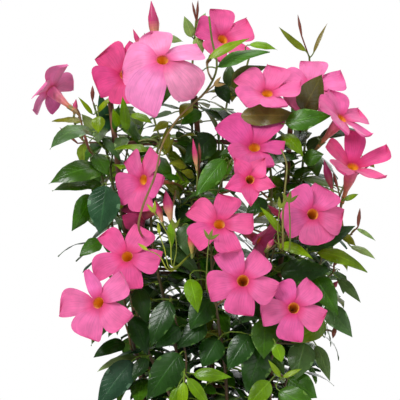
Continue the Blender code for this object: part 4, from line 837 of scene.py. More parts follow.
# Blooms and their lobes are counted from 0 here. Lobes that differ from their neighbours: length,
# width and extra curl of each of the five
lobeShape = {
    14: [(1.0, 1.0, 0), (0.95, 1.1, 0), (1.0, 0.6, -14), (1.15, 0.95, 0), (1.0, 1.15, 10)],
    10: [(1.0, 0.9, -10), (1.0, 1.0, 0), (1.0, 1.05, 0), (1.1, 1.15, 0), (1.0, 1.1, 0)],
    2: [(1.08, 0.75, -16), (0.8, 0.75, -24), (1.0, 1.15, 12), (1.24, 1.05, 18), (1.06, 1.2, 16)],
    0: [(1.0, 1.1, 10), (1.05, 1.1, 0), (1.0, 1.0, 20), (0.9, 1.0, 30), (1.0, 1.1, 20)],
    1: [(1.0, 1.1, 0), (1.0, 1.15, 10), (1.0, 1.25, 0), (1.0, 1.2, 0), (1.0, 1.1, 0)],
    8: [(0.82, 0.7, 0), (1.12, 1.12, -6), (1.16, 1.15, -10), (0.7, 0.7, 0), (0.9, 1.0, -10)],
    7: [(1.08, 0.85, 0), (1.1, 0.8, 0), (1.0, 0.8, -10), (1.1, 0.9, 0), (1.1, 0.85, 0)],
    12: [(0.94, 1.05, 0), (0.9, 1.05, 0), (0.92, 1.05, 0), (0.9, 1.05, 0), (0.9, 1.0, 0)],
    13: [(1.0, 1.1, 0), (1.0, 1.15, -10), (1.05, 0.8, -10), (1.1, 1.0, 0), (1.0, 1.15, 0)],
    15: [(0.93, 1.05, 0), (0.86, 0.95, -20), (1.0, 1.05, 0), (0.96, 1.1, 0), (0.94, 1.1, 0)],
    16: [(0.92, 1.0, 0), (0.94, 1.0, -10), (0.84, 0.95, 0), (0.96, 1.05, 0), (1.0, 1.0, 0)],
}
# How far the two edges of a lobe lie from its middle, at these shares of its length
petalKnots = (0.0, 0.15, 0.3, 0.45, 0.6, 0.72, 0.85, 0.93, 0.97, 1.0)
petalLeft = (0.0, 0.38, 0.60, 0.79, 0.92, 0.96, 0.89, 0.70, 0.44, -0.50)
petalRight = (0.0, 0.30, 0.47, 0.56, 0.61, 0.63, 0.62, 0.60, 0.58, 0.55)
# Lobes that end in a point, and round ones
pointedEdge = (0.0, 0.60, 0.82, 0.76, 0.60, 0.45, 0.24, 0.11, 0.05, 0.0)
roundEdge = (0.0, 0.40, 0.62, 0.80, 0.93, 0.96, 0.84, 0.60, 0.38, 0.02)
bothRound, halfRound = (roundEdge, roundEdge), (roundEdge, petalRight)
lobeEdges = {
    **{(9, lobe): (pointedEdge, pointedEdge) for lobe in range(5)},
    **{key: bothRound for key in ((2, 1), (2, 2), (2, 4), (12, 1), (12, 3))},
    **{key: halfRound for key in ((8, 2), (13, 3), (15, 0))},
    (14, 2): (pointedEdge, petalRight),
}
# One colour for each bloom, in the plan's order. The first is painted lighter, as painted light on its shaded
# back; the last two are painted darker, as painted shade for blooms in shadow behind others.
bloomTones = [
    "#f484c0", "#e64c8e", "#f48cc2", "#ec5a9a", "#e966a4", "#ef76ae", "#e9609e", "#e64c90", "#dc5395",
    "#ec5a96", "#e2599a", "#e45a96", "#e3629f", "#e45898", "#e86ca8", "#e562a0", "#e564a2", "#b03068",
    "#c03a74",
]


# The bloom's right, up and facing directions from its turn and tilt in degrees.
def bloomFrame(turn, tilt):
    turn, tilt = math.radians(turn), math.radians(tilt)
    facing = np.array((math.sin(turn) * math.cos(tilt), -math.cos(turn) * math.cos(tilt), math.sin(tilt)))
    right = unit(np.cross((0.0, 0.0, 1.0), facing))
    return right, np.cross(facing, right), facing


# Where a lobe stands on the bloom's circle.
def lobeTurn(roll, lobe):
    return math.radians(roll + 360 / bloomShape["lobes"] * lobe)


# Rings round one lobe. It starts deep in the funnel as a fifth of it and opens past the rim to
# a broad blade with a round bulge on one side and its corner tip on the other. The blade's reach is
# its length times the cosine of a slope that curls down, its height the same times the sine, with
# its edges lifted, a crease down its middle, a twist, and sines that wave it.
def petalRings(bloom, middle, draw, factors=(1.0, 1.0, 0), edges=(petalLeft, petalRight)):
    _, throat, turn, tilt, _, radius, half, flare, curl = bloom
    curl = curl + factors[2]
    right, up, facing = bloomFrame(turn, tilt)
    scale = radius / bloomShape["radius"]
    girth = min(scale, bloomShape["girth"])
    rim = bloomShape["throat"] * girth
    halfLobe = math.pi / bloomShape["lobes"]
    root = rim * math.cos(halfLobe)
    t = np.linspace(-1, 1, bloomShape["columns"])
    # The funnel's rows
    depth = np.array(bloomShape["funnel"]) * scale
    wide = np.interp(depth / scale, (-22, -14, -5, 0), (0.4, 3.9, 5.0, 5.8)) * girth
    fifth = t * halfLobe
    r0 = wide[:, None] * np.cos(fifth)
    w0 = wide[:, None] * np.sin(fifth)
    h0 = np.broadcast_to(depth[:, None] + 0.3, r0.shape)
    # The blade's rows
    v = np.array(bloomShape["rows"])
    dense = np.linspace(0, 1, 101)
    soft = np.hanning(13)[1:-1] / np.hanning(13)[1:-1].sum()

    def eased(values):
        line = np.interp(dense, petalKnots, values)
        kept = np.convolve(np.pad(line, 5, "edge"), soft, "valid")
        blend = np.clip((1 - dense) / 0.06, 0, 1)
        return np.interp(v, dense, kept * blend + line * (1 - blend))

    size = draw.uniform(*bloomShape["size"]) * factors[1]
    leftEdge, rightEdge = (rim * 0.59 * (1 - v) ** 2 + half * size * eased(edge) for edge in edges)
    slope = np.radians(flare + draw.uniform(-4, 4) - (curl + draw.uniform(-6, 6)) * v / 2)
    length = (radius - root) * draw.uniform(*bloomShape["length"]) * factors[0]
    r1 = (root + length * v * np.cos(slope))[:, None] + (rim * np.cos(fifth) - root) * ((1 - v) ** 5)[:, None]
    share = (t + 1) / 2
    w1 = -leftEdge[:, None] * (1 - share) + rightEdge[:, None] * share
    middleW = ((rightEdge - leftEdge) / 2)[:, None]
    lift = (length * v * np.sin(slope))[:, None] + 0.3
    spread = np.abs(t) ** 1.6 * bloomShape["lift"] * np.minimum(1, 3 * v)[:, None]
    twist = -math.tan(math.radians(bloomShape["twist"])) * (w1 - middleW) * np.minimum(1, 3 * v)[:, None]
    crease = -bloomShape["crease"] * np.exp(-(t / 0.22) ** 2) * (np.minimum(1, 4 * v) * (1 - v))[:, None]
    phase = draw.uniform(0, 6)
    wave = bloomShape["wave"] * radius * (v**2)[:, None] * np.sin(4.2 * t + phase + 2.0 * v[:, None])
    wave = wave + bloomShape["ruffle"] * radius * (v**3)[:, None] * np.sin(11 * t + 2 * phase)
    rolled = -bloomShape["rolled"] * scale * (v**2)[:, None] * np.clip(-t - 0.55, 0, 1) ** 1.5 * 3
    h1 = lift + spread + twist + crease + wave + rolled
    r, w, h = np.vstack((r0, r1)), np.vstack((w0, w1)), np.vstack((h0, h1))
    out = math.cos(middle) * right + math.sin(middle) * up
    side = math.cos(middle) * up - math.sin(middle) * right
    front = np.array(throat) + r[..., None] * out + w[..., None] * side + h[..., None] * facing
    # The back lies one thickness behind: outward in the funnel, downward in the blade
    deep = np.concatenate((np.ones(len(depth)), np.clip(1 - v * 5, 0, 1)))[:, None, None]
    radial = unit(front - np.array(throat) - h[..., None] * facing + 1e-9)
    behind = front + bloomShape["thick"] * (deep * radial - (1 - deep) * facing)
    rings = np.concatenate((front, behind[:, 1:-1][:, ::-1]), axis=1)
    mouth = bloomShape["mouth"]
    along = np.concatenate((mouth * (1 + depth / (22 * scale)), mouth + (1 - mouth) * v))
    u = np.concatenate((share, share[1:-1][::-1]))
    places = np.stack(np.broadcast_arrays(u[None, :], along[:, None]), axis=-1)
    return rings, places


sepalShape = {"count": 5, "apart": 1.2566, "grid": (5, 5)}  # radians, rows and columns


# Narrow green sepals round a foot: each starts a little out from it and runs along it, leaning out.
def addSepals(store, foot, axes, start, reach, run, lean, width, bend, colour, slot):
    for leaf in range(sepalShape["count"]):
        angle = leaf * sepalShape["apart"] + start
        out = math.cos(angle) * axes[0] + math.sin(angle) * axes[1]
        base = foot + out * reach
        rings, _ = bladeRings(base, base + run + out * lean, width, out, bend, *sepalShape["grid"], 0)
        store.add(rings, hexColour(colour), slot=slot)


# Five lobes, the tube behind them and the sepals at its foot. The tube is a row of circles that
# widen toward the throat, with its inner wall on the way back.
def drawBloom(number, bloom):
    _, throat, turn, tilt, roll, radius = bloom[:6]
    name = f"bloom_{number + 1:02d}"
    draw = random.Random(name)
    scale = radius / bloomShape["radius"]
    girth = min(scale, bloomShape["girth"])
    right, up, facing = bloomFrame(turn, tilt)
    store = Store()
    base = np.array(hexColour(bloomTones[number]))
    for lobe in range(bloomShape["lobes"]):
        factors = lobeShape.get(number, [(1.0, 1.0, 0)] * 5)[lobe]
        edges = lobeEdges.get((number, lobe), (petalLeft, petalRight))
        rings, places = petalRings(bloom, lobeTurn(roll, lobe), draw, factors, edges)
        tone = base * np.array((1, draw.uniform(0.9, 1.12), draw.uniform(0.95, 1.06), 1))
        store.add(rings, tone, places, 0, tone * np.array((0.97, 0.9, 0.94, 1)), bloomShape["columns"])
    heights = np.array(bloomShape["cup"]) * scale
    radii = np.interp(heights / scale, (-42, -28, -15, 0), (1.9 / girth, 2.6 / girth, 5.6, 7.2)) * girth
    radii[bloomShape["outside"]:] -= bloomShape["wall"]
    radii[-1] *= 0.3
    mix = np.clip((heights / scale + 40) / 36, 0, 1)[:, None]
    cream, pink = np.array(hexColour(bloomShape["foot"])), base * np.array((0.85, 0.6, 0.7, 1))
    skin = cream * (1 - mix) + pink * mix
    skin[bloomShape["outside"]:] = hexColour(bloomShape["inside"])
    turns = np.arange(20) * np.pi / 10
    circle = np.cos(turns)[:, None] * right + np.sin(turns)[:, None] * up
    cup = np.array(throat) + heights[:, None, None] * facing + radii[:, None, None] * circle
    store.add(cup, skin[:-1], slot=1)
    foot = np.array(throat) - facing * bloomShape["tube"] * scale
    addSepals(store, foot, (right, up), 0.5, 1.7, facing * 8, 1.6, 2.6, -20, bloomShape["sepal"], 1)
    store.finish(name + "_petals", ["petal", "bud"], [name], "petal", 65)


# Colours of foot and tip of the buds that differ from the others, counted from 0
budTones = {6: ("#b9a04e", "#d0385c"), 7: ("#d0406a", "#d0406a"), 9: ("#96424a", "#8e2450"),
            10: ("#8a3a30", "#8c2040")}
budShape = {"foot": "#e3a878", "tip": "#cf3f77", "sepal": "#7d8a3a", "ridges": 0.09,
            "share": (0, 0.1, 0.2, 0.32, 0.45, 0.58, 0.7, 0.85, 0.94, 1.0),  # of the length, and there
            "wide": (0.34, 0.5, 0.62, 0.84, 1.0, 0.93, 0.72, 0.38, 0.17, 0.02)}  # share of the width


# A furled bud: a spindle with five ridges that wind round it toward a sharp tip. Its radius is the
# width's share at each height, less the ridges: a sine of the turn and the height.
def drawBud(number, bud):
    _, foot, tip, width = bud
    foot = np.array(foot, dtype=float)
    axis = np.array(tip, dtype=float) - foot
    across = unit(np.cross(axis, (0.2, 0.9, 0.1)))
    other = unit(np.cross(axis, across))
    v = np.linspace(0, 1, 18)
    size = np.interp(v, budShape["share"], budShape["wide"])
    turn = np.arange(20) * np.pi / 10
    ridges = 1 - budShape["ridges"] * np.abs(np.sin(2.5 * (turn[None, :] + 3.4 * v[:, None]))) ** 0.7
    reach = (width / 2 * size)[:, None] * ridges
    ring = np.cos(turn)[:, None] * across + np.sin(turn)[:, None] * other
    rings = foot + axis * v[:, None, None] + reach[..., None] * ring
    codes = budTones.get(number, (budShape["foot"], budShape["tip"]))
    low, high = (np.array(hexColour(code)) for code in codes)
    mix = np.clip((v - 0.22) / 0.3, 0, 1)[:, None]
    tone = (low * (1 - mix) + high * mix) * (1 - 0.35 * np.clip(v - 0.7, 0, 1)[:, None])
    store = Store()
    store.add(rings, tone[:-1])
    run = unit(axis) * min(7, 0.28 * np.linalg.norm(axis))
    addSepals(store, foot, (across, other), 0, width * 0.16, run, 1.2, 2.2, -25, budShape["sepal"], 0)
    store.finish(f"bud_{number + 1:02d}_skin", ["bud"], [f"bud_{number + 1:02d}"], "bud")


# Vines

# Thin stems before the blooms: points from foot to tip, radius, colour, leaflets at the tip
youngShoots = {
    "vine_crossing": [
        ([(-70, -88, 372), (-66, -99, 394), (-54, -105, 424), (-47, -98, 454), (-32, -76, 480),
          (-14, -64, 498), (4, -58, 514)], 1.4, "#866c40", 2)],
    "vine_right_inner": [
        ([(71, -92, 352), (71, -104, 382), (73, -106, 410), (75, -100, 434), (70, -88, 450)],
         1.4, "#7e7a38", 0),
        ([(77, -92, 350), (78, -106, 376), (77, -107, 398)], 1.1, "#6f7c2c", 3),
        ([(68, -92, 352), (66, -104, 372), (68, -106, 392)], 0.9, "#75822c", 2)],
    "vine_front_middle": [
        ([(-38, -84, 330), (-50, -88, 345), (-62, -92, 351)], 0.8, "#a0aa2e", 1),
        ([(-38, -84, 332), (-45, -90, 352), (-50, -94, 367)], 0.8, "#9aa62c", 1),
        ([(-36, -84, 334), (-40, -90, 362), (-55, -96, 388)], 0.8, "#94a02e", 2),
        ([(-35, -84, 332), (-33, -90, 352), (-35, -94, 372)], 0.8, "#7c8a2c", 2),
        ([(-3, -90, 312), (-3, -100, 340), (-1, -109, 362)], 1.0, "#6f7c2c", 3)],
}
vineLook = {
    "root": 1.9, "twig": 1.0, "deep": 40.0,  # radius at the foot and at the top, depth in the soil
    "green": (260, 240),  # height where a stem turns green, over how far
    "old": "#5a4630", "young": "#6f7c34", "stalk": "#7f8a3c", "flower": "#8a6a3c", "tip": "#7c4030",
    "leaflet": (12, 3.6),  # length and width
}


# A stalk: circles along a smooth curve, their radii given at shares of its points.
def addStalk(store, points, shares, radii, sides, colour):
    path = smoothCurve(points, 4)
    radii = np.interp(np.linspace(0, 1, len(path)), shares, radii)
    store.add(tubeRings(path, radii, sides), hexColour(colour), slot=1)
    return path


# Shoots that turn from brown to green, flower stalks, bud stalks and small unopened buds.
def drawStems(store, name, plan, fine, coarse):
    old, young = np.array(hexColour(vineLook["old"])), np.array(hexColour(vineLook["young"]))
    for number, path in enumerate(fine):
        if number == 0:
            path = np.vstack((path[0] - np.array((0, 0, vineLook["deep"])), path))
            radii = np.linspace(vineLook["root"], vineLook["twig"], len(path))
        else:
            radii = np.full(len(path), vineLook["twig"])
        mix = np.clip((path[:, 2:] - vineLook["green"][0]) / vineLook["green"][1], 0, 1)
        store.add(tubeRings(path, radii, 8, 0.08), (old * (1 - mix) + young * mix)[:-1], slot=1)
    for bloom in bloomPlan:
        if bloom[0] != name:
            continue
        _, throat, turn, tilt, _, radius = bloom[:6]
        facing = bloomFrame(turn, tilt)[2]
        seat = np.array(throat) - facing * (bloomShape["tube"] * radius / bloomShape["radius"] + 0.3)
        neck = seat - facing * 7
        spot = nearestOn(coarse, neck - facing * 6 + np.array((0, 0, -14.0)))
        points = [seat, neck, (neck + spot) / 2 - facing * 3, spot]
        addStalk(store, points, (0, 0.15, 0.5, 1), (2.3, 1.4, 1.0, 1.2), 7, vineLook["flower"])
    for owner, foot, tip, width in budPlan:
        if owner != name:
            continue
        foot = np.array(foot, dtype=float)
        axis = unit(np.array(tip, dtype=float) - foot)
        neck = foot - axis * 4.3
        spot = nearestOn(coarse, neck + np.array((0, 0, -8.0)))
        points = [foot - axis * 0.3, neck, (neck + spot) / 2 - np.array((0, 0, 1.0)), spot]
        addStalk(store, points, (0, 0.2, 1), (0.2 * width, 1.0, 1.0), 6, vineLook["stalk"])
    for foot, tip, width in plan.get("tips", []):
        foot = np.array(foot, dtype=float)
        axis = np.array(tip, dtype=float) - foot
        spot = nearestOn(coarse, foot + np.array((0, 0, -5.0)))
        path = np.vstack((smoothCurve([spot, (spot + foot) / 2, foot], 4),
                          foot + axis * np.array((0.2, 0.5, 0.8, 1.0))[:, None]))
        radii = np.concatenate((np.full(len(path) - 4, 0.75),
                                np.array((0.75, 1.0, 0.55, 0.05)) * max(width / 2, 0.8)))
        store.add(tubeRings(path, radii, 6), hexColour(vineLook["tip"]), slot=1)
    for points, thick, colour, leaflets in youngShoots.get(name, []):
        points = [nearestOn(coarse, np.array(points[0]) + (0, 12, -8)), *points]
        path = addStalk(store, points, (0, 1), (thick, 0.55 * thick), 7, colour)
        onward = unit(path[-1] - path[-2])
        across = unit(np.cross(onward, (0.0, -1.0, 0.0)))
        for number in range(leaflets):
            angle = 0.75 * (number - (leaflets - 1) / 2) + 0.2
            chord = math.cos(angle) * onward + math.sin(angle) * across
            foot = path[-1] - 0.4 * onward
            facing = unit(np.cross(across, chord)) if leaflets == 1 else unit(np.cross(onward, across))
            long, wide = vineLook["leaflet"]
            rings, places = bladeRings(foot, foot + long * chord, wide, -facing, 25, 8, 5, 0)
            store.add(rings, hexColour(colour), places, 0, hexColour(colour), 5)


fillPlan = {
    "length": (30, 54), "step": 5.0, "reach": (8, 26), "tries": 7,  # mm and tries at each step
    "front": -50.0, "ground": 166,  # no further forward, no lower
    "margin": 2, "before": 14,  # room to the solids' box, and before a bloom's throat
    "heights": (163, 330, 400, 500, 560), "chance": (0.9, 0.8, 0.55, 0.3, 0.08),
    "low": ["dark"] * 6 + ["blue", "mid", "mid", "grey"], "turning": (260, 160),  # tones below and above
    "high": ["mid", "mid", "mid", "olive", "olive", "bright", "dark", "grey"],
}
# Left and right edge of the foliage at each height
outline = {"z": (160, 200, 240, 290, 340, 400, 450, 490, 530, 570, 600),
           "left": (-90, -100, -104, -92, -100, -128, -130, -110, -40, -30, -20),
           "right": (100, 104, 130, 140, 140, 120, 112, 96, 60, 30, 0)}


# Whether any point lies in front of an open bloom.
def blocksView(points, blooms):
    for x, y, z, radius in blooms:
        inside = (points[:, 0] - x) ** 2 + (points[:, 2] - z) ** 2 < radius**2
        if (inside & (points[:, 1] < y + fillPlan["before"])).any():
            return True
    return False


# Places for a further leaf: outward from its spot in any direction, hanging.
def freeTries(draw, spot, tangent):
    for number in range(fillPlan["tries"]):
        angle = draw.uniform(0, 2 * math.pi)
        out = np.array((math.cos(angle), math.sin(angle), draw.uniform(-0.4, 0.4)))
        size = draw.uniform(*fillPlan["length"]) * (1 - 0.05 * number)
        foot = spot + unit(out) * draw.uniform(*fillPlan["reach"])
        chord = unit(out + np.array((0, 0, draw.uniform(-1.5, 0.1))))
        normal = np.array((0, -0.5, 1.0)) + draw.uniform(0.1, 0.9) * out + 0.2 * tangent
        normal = unit(normal - chord * np.dot(normal, chord))
        yield foot, foot + chord * size, size * draw.uniform(0.46, 0.58), normal, draw.uniform(20, 65)


# Whether a leaf stays within the plant's outline, behind the front leaves and off the blooms.
def fits(ends, blooms, low, high):
    tip = ends[-1]
    left = np.interp(tip[2], outline["z"], outline["left"])
    right = np.interp(tip[2], outline["z"], outline["right"])
    if not left < tip[0] < right or ends[:, 1].min() < fillPlan["front"] or tip[2] < fillPlan["ground"]:
        return False
    if (ends < low + fillPlan["margin"]).any() or (ends > high - fillPlan["margin"]).any():
        return False
    return not blocksView(ends, blooms)


# More leaves of the same kind wherever a shoot has room, behind the planned ones.
def fillLeaves(store, name, coarse, crowd, blooms):
    draw = random.Random(name + " fill")
    low, high = (np.array(corner) / mm for corner in cadBox)
    placed = 0
    for path in coarse:
        length = np.linalg.norm(np.diff(path, axis=0), axis=1).sum()
        for number in range(int(length / fillPlan["step"])):
            spot, tangent = pointAlong(path, (number + 0.5) * fillPlan["step"] / length)
            # The plant is dense below and open above
            if draw.random() > np.interp(spot[2], fillPlan["heights"], fillPlan["chance"]):
                continue
            for row in freeTries(draw, spot, tangent):
                foot, tip, width, normal, bend = row
                if not fits(np.array((foot, (foot + tip) / 2, tip)), blooms, low, high):
                    continue
                rings, _ = bladeRings(foot, tip, width, normal, bend, 5, 3, 0)
                shell = blockTree(rings)
                if any(shell.overlap(other) for other in crowd.near(rings)):
                    continue
                crowd.add(rings, shell)
                share = min(1, max(0, (spot[2] - fillPlan["turning"][0]) / fillPlan["turning"][1]))
                tones = fillPlan["low"] if draw.random() > share else fillPlan["high"]
                drawLeaf(store, spot, row, draw.choice(tones), draw, leafShape["further"])
                placed += 1
                break
    return placed


# A search tree of one closed ring surface.
def blockTree(rings):
    _, quads = ringQuads(*rings.shape[:2])
    return BVHTree.FromPolygons(rings.reshape(-1, 3).tolist(), quads.tolist())


# Boxes and search trees of what is already in place.
class Crowd:

    def __init__(self):
        self.low, self.high, self.trees = [], [], []

    def add(self, rings, tree):
        self.low.append(rings.reshape(-1, 3).min(axis=0))
        self.high.append(rings.reshape(-1, 3).max(axis=0))
        self.trees.append(tree)

    def near(self, rings):
        low, high = rings.reshape(-1, 3).min(axis=0), rings.reshape(-1, 3).max(axis=0)
        meet = ((np.array(self.low) < high) & (np.array(self.high) > low)).all(axis=1)
        return [self.trees[number] for number in np.flatnonzero(meet)]


crowd = Crowd()
for number, bloom in enumerate(bloomPlan):
    drawBloom(number, bloom)
    for lobe in range(bloomShape["lobes"]):
        rings, _ = petalRings(bloom, lobeTurn(bloom[4], lobe), random.Random(lobe))
        crowd.add(rings, blockTree(rings))
for number, bud in enumerate(budPlan):
    drawBud(number, bud)
    rings = tubeRings(np.array(bud[1:3], dtype=float), bud[3] / 2, 6)
    crowd.add(rings, blockTree(rings))
print("blooms and buds made")

lines, settled = {}, {}
for name, plan in vinePlan.items():
    coarse, fine = shootPaths(plan["shoots"])
    lines[name] = (coarse, fine)
    settled[name] = leafPlaces(name, plan, coarse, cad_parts[name])
    wanted = len(plan.get("leaves", [])) + 2 * sum(rule[3] for rule in plan.get("pairs", []))
    print(name, "planned leaves found:", len(settled[name]), "of", wanted)
    for row, _ in settled[name]:
        rings, _ = bladeRings(*row, 6, 3, 0)
        crowd.add(rings, blockTree(rings))
faces = [(*bloom[1], bloom[5] * 0.95) for bloom in bloomPlan[:bloomShape["open"]]]
for name, plan in vinePlan.items():
    coarse, fine = lines[name]
    store = Store()
    drawStems(store, name, plan, fine, coarse)
    draw = random.Random(name)
    for row, tone in settled[name]:
        drawLeaf(store, nearestOn(coarse, row[0]), row, tone, draw, leafShape["planned"])
    more = fillLeaves(store, name, coarse, crowd, faces)
    store.finish(name + "_foliage", ["leaf", "stem"], [name], "foliage", 60)
    print(name, "further leaves:", more)


# Trellis: three stained sticks, two bands of paired canes, a rung and a wire loop

trellisPlan = {
    "soil": 163.0, "deep": 90, "bow": (1.2, 0.4, 0.0),  # top of the soil, depth in it, bend of a stick
    "stakes": {"stake_left": ((-64, 4), (-101, 4, 500)), "stake_middle": ((6, 4), (-15, 4, 505)),
               "stake_right": ((57, 4), (82, 4, 476))},  # foot in the soil, tip
    "bands": {"band_upper": (456, -122, 92, 3), "band_lower": (330, -96, 84, -2)},  # height, ends, sag
    "rung": [(-82, -0.63, 212), (-20, -0.93, 211), (80, -0.63, 213)],
    "stakeRadius": 2.8, "caneRadius": 1.5, "gap": 0.3,
    "wireRadius": 0.9, "wireLoop": (11, 7.2), "wirePlace": (268, -3.0),  # half axes, height and y
}


# The line of a stake: deep foot, soil, a slightly bowed middle, tip.
def stakePath(name):
    foot, tip = trellisPlan["stakes"][name]
    foot = np.array((*foot, trellisPlan["soil"]))
    tip = np.array(tip, dtype=float)
    below = foot - (tip - foot) / (tip[2] - foot[2]) * trellisPlan["deep"]
    return np.array((below, foot, (foot + tip) / 2 + np.array(trellisPlan["bow"]), tip))


# Where a stake stands at a height.
def stakeAt(name, z):
    path = stakePath(name)
    return np.array([np.interp(z, path[:, 2], path[:, axis]) for axis in range(3)])


# The line of one cane: it passes before one stake and behind the next, its twin the other way. A
# parabola over its length gives its sag.
def bandPath(name, side):
    z, start, end, sag = trellisPlan["bands"][name]
    centres = [stakeAt(stake, z) for stake in trellisPlan["stakes"]]
    clear = trellisPlan["stakeRadius"] + trellisPlan["caneRadius"] + trellisPlan["gap"] + 0.35
    apart = trellisPlan["caneRadius"] + trellisPlan["gap"] + 0.1

    def level(x):
        return z + sag * (1 - ((x + 10) / 110) ** 2)

    knots = [(start, centres[0][1], level(start) + side * apart)]
    for number, centre in enumerate(centres):
        front = side if number % 2 == 0 else -side
        for step in (-4, 4):
            knots.append((centre[0] + step, centre[1] - front * clear, level(centre[0]) + front * 0.4))
        if number < 2:
            between = (centre[0] + centres[number + 1][0]) / 2
            knots.append((between, centre[1], level(between) + side * apart))
    knots.append((end, centres[-1][1], level(end) + side * apart))
    return smoothCurve(knots, 5)


# A closed ring surface as a piece of its own that takes a solid's place.
def standIn(rings, node, finish, recordSlot):
    store = Store()
    store.add(rings, (1, 1, 1, 1))
    store.finish(node + "_finished", [finish], [node], recordSlot)


for number, name in enumerate(trellisPlan["stakes"]):
    path = smoothCurve(stakePath(name), 7)
    radii = trellisPlan["stakeRadius"] * (1 + 0.05 * np.sin(path[:, 2] / 23 + number))
    # Cut ends are rounded a little
    path = np.vstack((path, path[-1] + (path[-1] - path[-2]) * 0.12))
    radii = np.append(radii, radii[-1] * 0.7)
    standIn(tubeRings(path, radii, 14, 0.04, number * 2.0), name, "stake", "stake_wood")
for name in trellisPlan["bands"]:
    for label, side in (("front", 1), ("back", -1)):
        path = bandPath(name, side)
        radii = trellisPlan["caneRadius"] * (1 + 0.06 * np.sin(path[:, 0] / 9 + side))
        standIn(tubeRings(path, radii, 10, 0.03, side), f"{name}_{label}", "cane", "cane")
path = smoothCurve(trellisPlan["rung"], 5)
radii = (trellisPlan["caneRadius"] + 0.3) * (1 + 0.05 * np.sin(path[:, 0] / 11))
standIn(tubeRings(path, radii, 10, 0.03), "rung_bottom", "cane", "cane")


# A wire loop: a circle carried round an oval about the middle stake, whose two half axes are taken
# times the cosine and the sine of the turn.
def makeWireLoop():
    height, before = trellisPlan["wirePlace"]
    wide, deep = trellisPlan["wireLoop"]
    centre = stakeAt("stake_middle", height)
    turn = np.arange(48) * np.pi / 24
    out = np.stack((wide * np.cos(turn), deep * np.sin(turn), 0 * turn), axis=1)
    spin = np.arange(10) * np.pi / 5
    rings = (centre + out + np.array((0, before, 0)))[:, None] + trellisPlan["wireRadius"] * (
        np.cos(spin)[None, :, None] * unit(out)[:, None]
        + np.sin(spin)[None, :, None] * np.array((0, 0, 1.0)))
    rows, around = rings.shape[:2]
    grid = np.arange(rows * around).reshape(rows, around)
    onward, over = np.roll(grid, -1, axis=0), np.roll(grid, -1, axis=1)
    both = np.roll(onward, -1, axis=1)
    quads = np.stack((grid, onward, both, over), axis=-1).reshape(-1, 4)
    mesh = bpy.data.meshes.new("wire_loop")
    mesh.from_pydata((rings.reshape(-1, 3) * mm).tolist(), [], quads.tolist())
    mesh.materials.append(materials["wire"])
    mesh.shade_smooth()
    addPiece("wire_loop", mesh, ["wire_ring"])


makeWireLoop()
print("trellis made")


# Pot and soil

potShape = {
    "profile": [(66, 1.0), (68.6, 0.0), (70.1, 1.4), (90.9, 156.4), (92.0, 157.0), (94.4, 157.0),
                (95.1, 158.0), (95.9, 173.4), (95.0, 174.9), (93.6, 175.0), (89.8, 175.0), (88.3, 174.6),
                (87.9, 173.0), (67.6, 8.6), (66.2, 6.2), (62, 6.0)],  # radius and height round the wall
    "sides": 96, "holes": 4, "ring": 34, "hole": 6.0, "firstHole": 0.4,
}


# A profile turned about the upright axis: its radius times the cosine and the sine of the turn.
def lathe(profile, sides):
    profile = np.array(profile, dtype=float)
    turn = np.arange(sides) * 2 * np.pi / sides
    return np.stack((profile[:, :1] * np.cos(turn), profile[:, :1] * np.sin(turn),
                     np.repeat(profile[:, 1:], sides, axis=1)), axis=-1)


# A turned clay pot; four drain holes are cut through its floor.
def makePot():
    rings = lathe(potShape["profile"], potShape["sides"])
    store = Store()
    store.add(rings, (1, 1, 1, 1))
    pot = store.finish("thrown_pot", ["clay"], ["pot"], "pot_clay", 40)
    for number in range(potShape["holes"]):
        angle = 2 * math.pi / potShape["holes"] * number + potShape["firstHole"]
        spot = potShape["ring"] * np.array((math.cos(angle), math.sin(angle), 0))
        path = spot + np.array(((0, 0, -5.0), (0, 0, 11.0)))
        cutter = Store()
        cutter.add(tubeRings(path, potShape["hole"], 24), (1, 1, 1, 1))
        tool = addObject("drain_cutter", cutter.mesh("drain_cutter", ["clay"]))
        cut = pot.modifiers.new("drain", "BOOLEAN")
        cut.object = tool
        cut.operation = "DIFFERENCE"
        finished = bpy.data.meshes.new_from_object(pot.evaluated_get(bpy.context.evaluated_depsgraph_get()))
        pot.modifiers.clear()
        pot.data = finished
        bpy.data.objects.remove(tool, do_unlink=True)


soilShape = {"rings": 44, "sides": 120, "bump": 1.3, "crumbs": 260, "crumb": (0.8, 2.1), "radius": 86}


# Soil: a turned body whose top is raised and sunk by a few waves, strewn with small crumbs.
def makeSoil():
    radius = np.linspace(soilShape["radius"], 1.5, soilShape["rings"])
    top = np.interp(radius, (48, 82, 86), (163.0, 160.4, 159.6))
    body = lathe([(66.3, 6.4), (86.0, 158.0)] + list(zip(radius, top)), soilShape["sides"])
    x, y = body[2:, :, 0], body[2:, :, 1]
    wave = (np.sin(x / 5.1 + 1.3 * np.sin(y / 6.3)) + np.sin(y / 4.3 + 1.1 * np.sin(x / 7.7 + 2))
            + 0.7 * np.sin(x / 2.3 + y / 3.1) + 0.7 * np.sin(y / 2.1 - x / 2.9 + 1))
    body[2:, :, 2] += soilShape["bump"] * 0.33 * wave * np.clip((87 - radius) / 6, 0, 1)[:, None]
    store = Store()
    store.add(body, (1, 1, 1, 1))
    draw = random.Random(7)
    for _ in range(soilShape["crumbs"]):
        away, turn = 82 * math.sqrt(draw.random()), draw.uniform(0, 6.3)
        size = draw.uniform(*soilShape["crumb"])
        rise = np.interp(away, (48, 86), (163.0, 160.0))
        spot = np.array((away * math.cos(turn), away * math.sin(turn), rise + size * 0.4))
        lumps = lathe([(0.4, -0.9), (0.95, -0.2), (0.85, 0.5), (0.3, 0.9)], 5) * size
        lumps = lumps * np.array((draw.uniform(0.7, 1.3), draw.uniform(0.7, 1.3), draw.uniform(0.6, 1)))
        store.add(spot + lumps, (1, 1, 1, 1))
    store.finish("compost", ["soil"], ["soil"], "soil", 60)


makePot()
makeSoil()
print("pot and soil made")


# Stage: a round pale floor, soft light from above and in front, the photo's level view

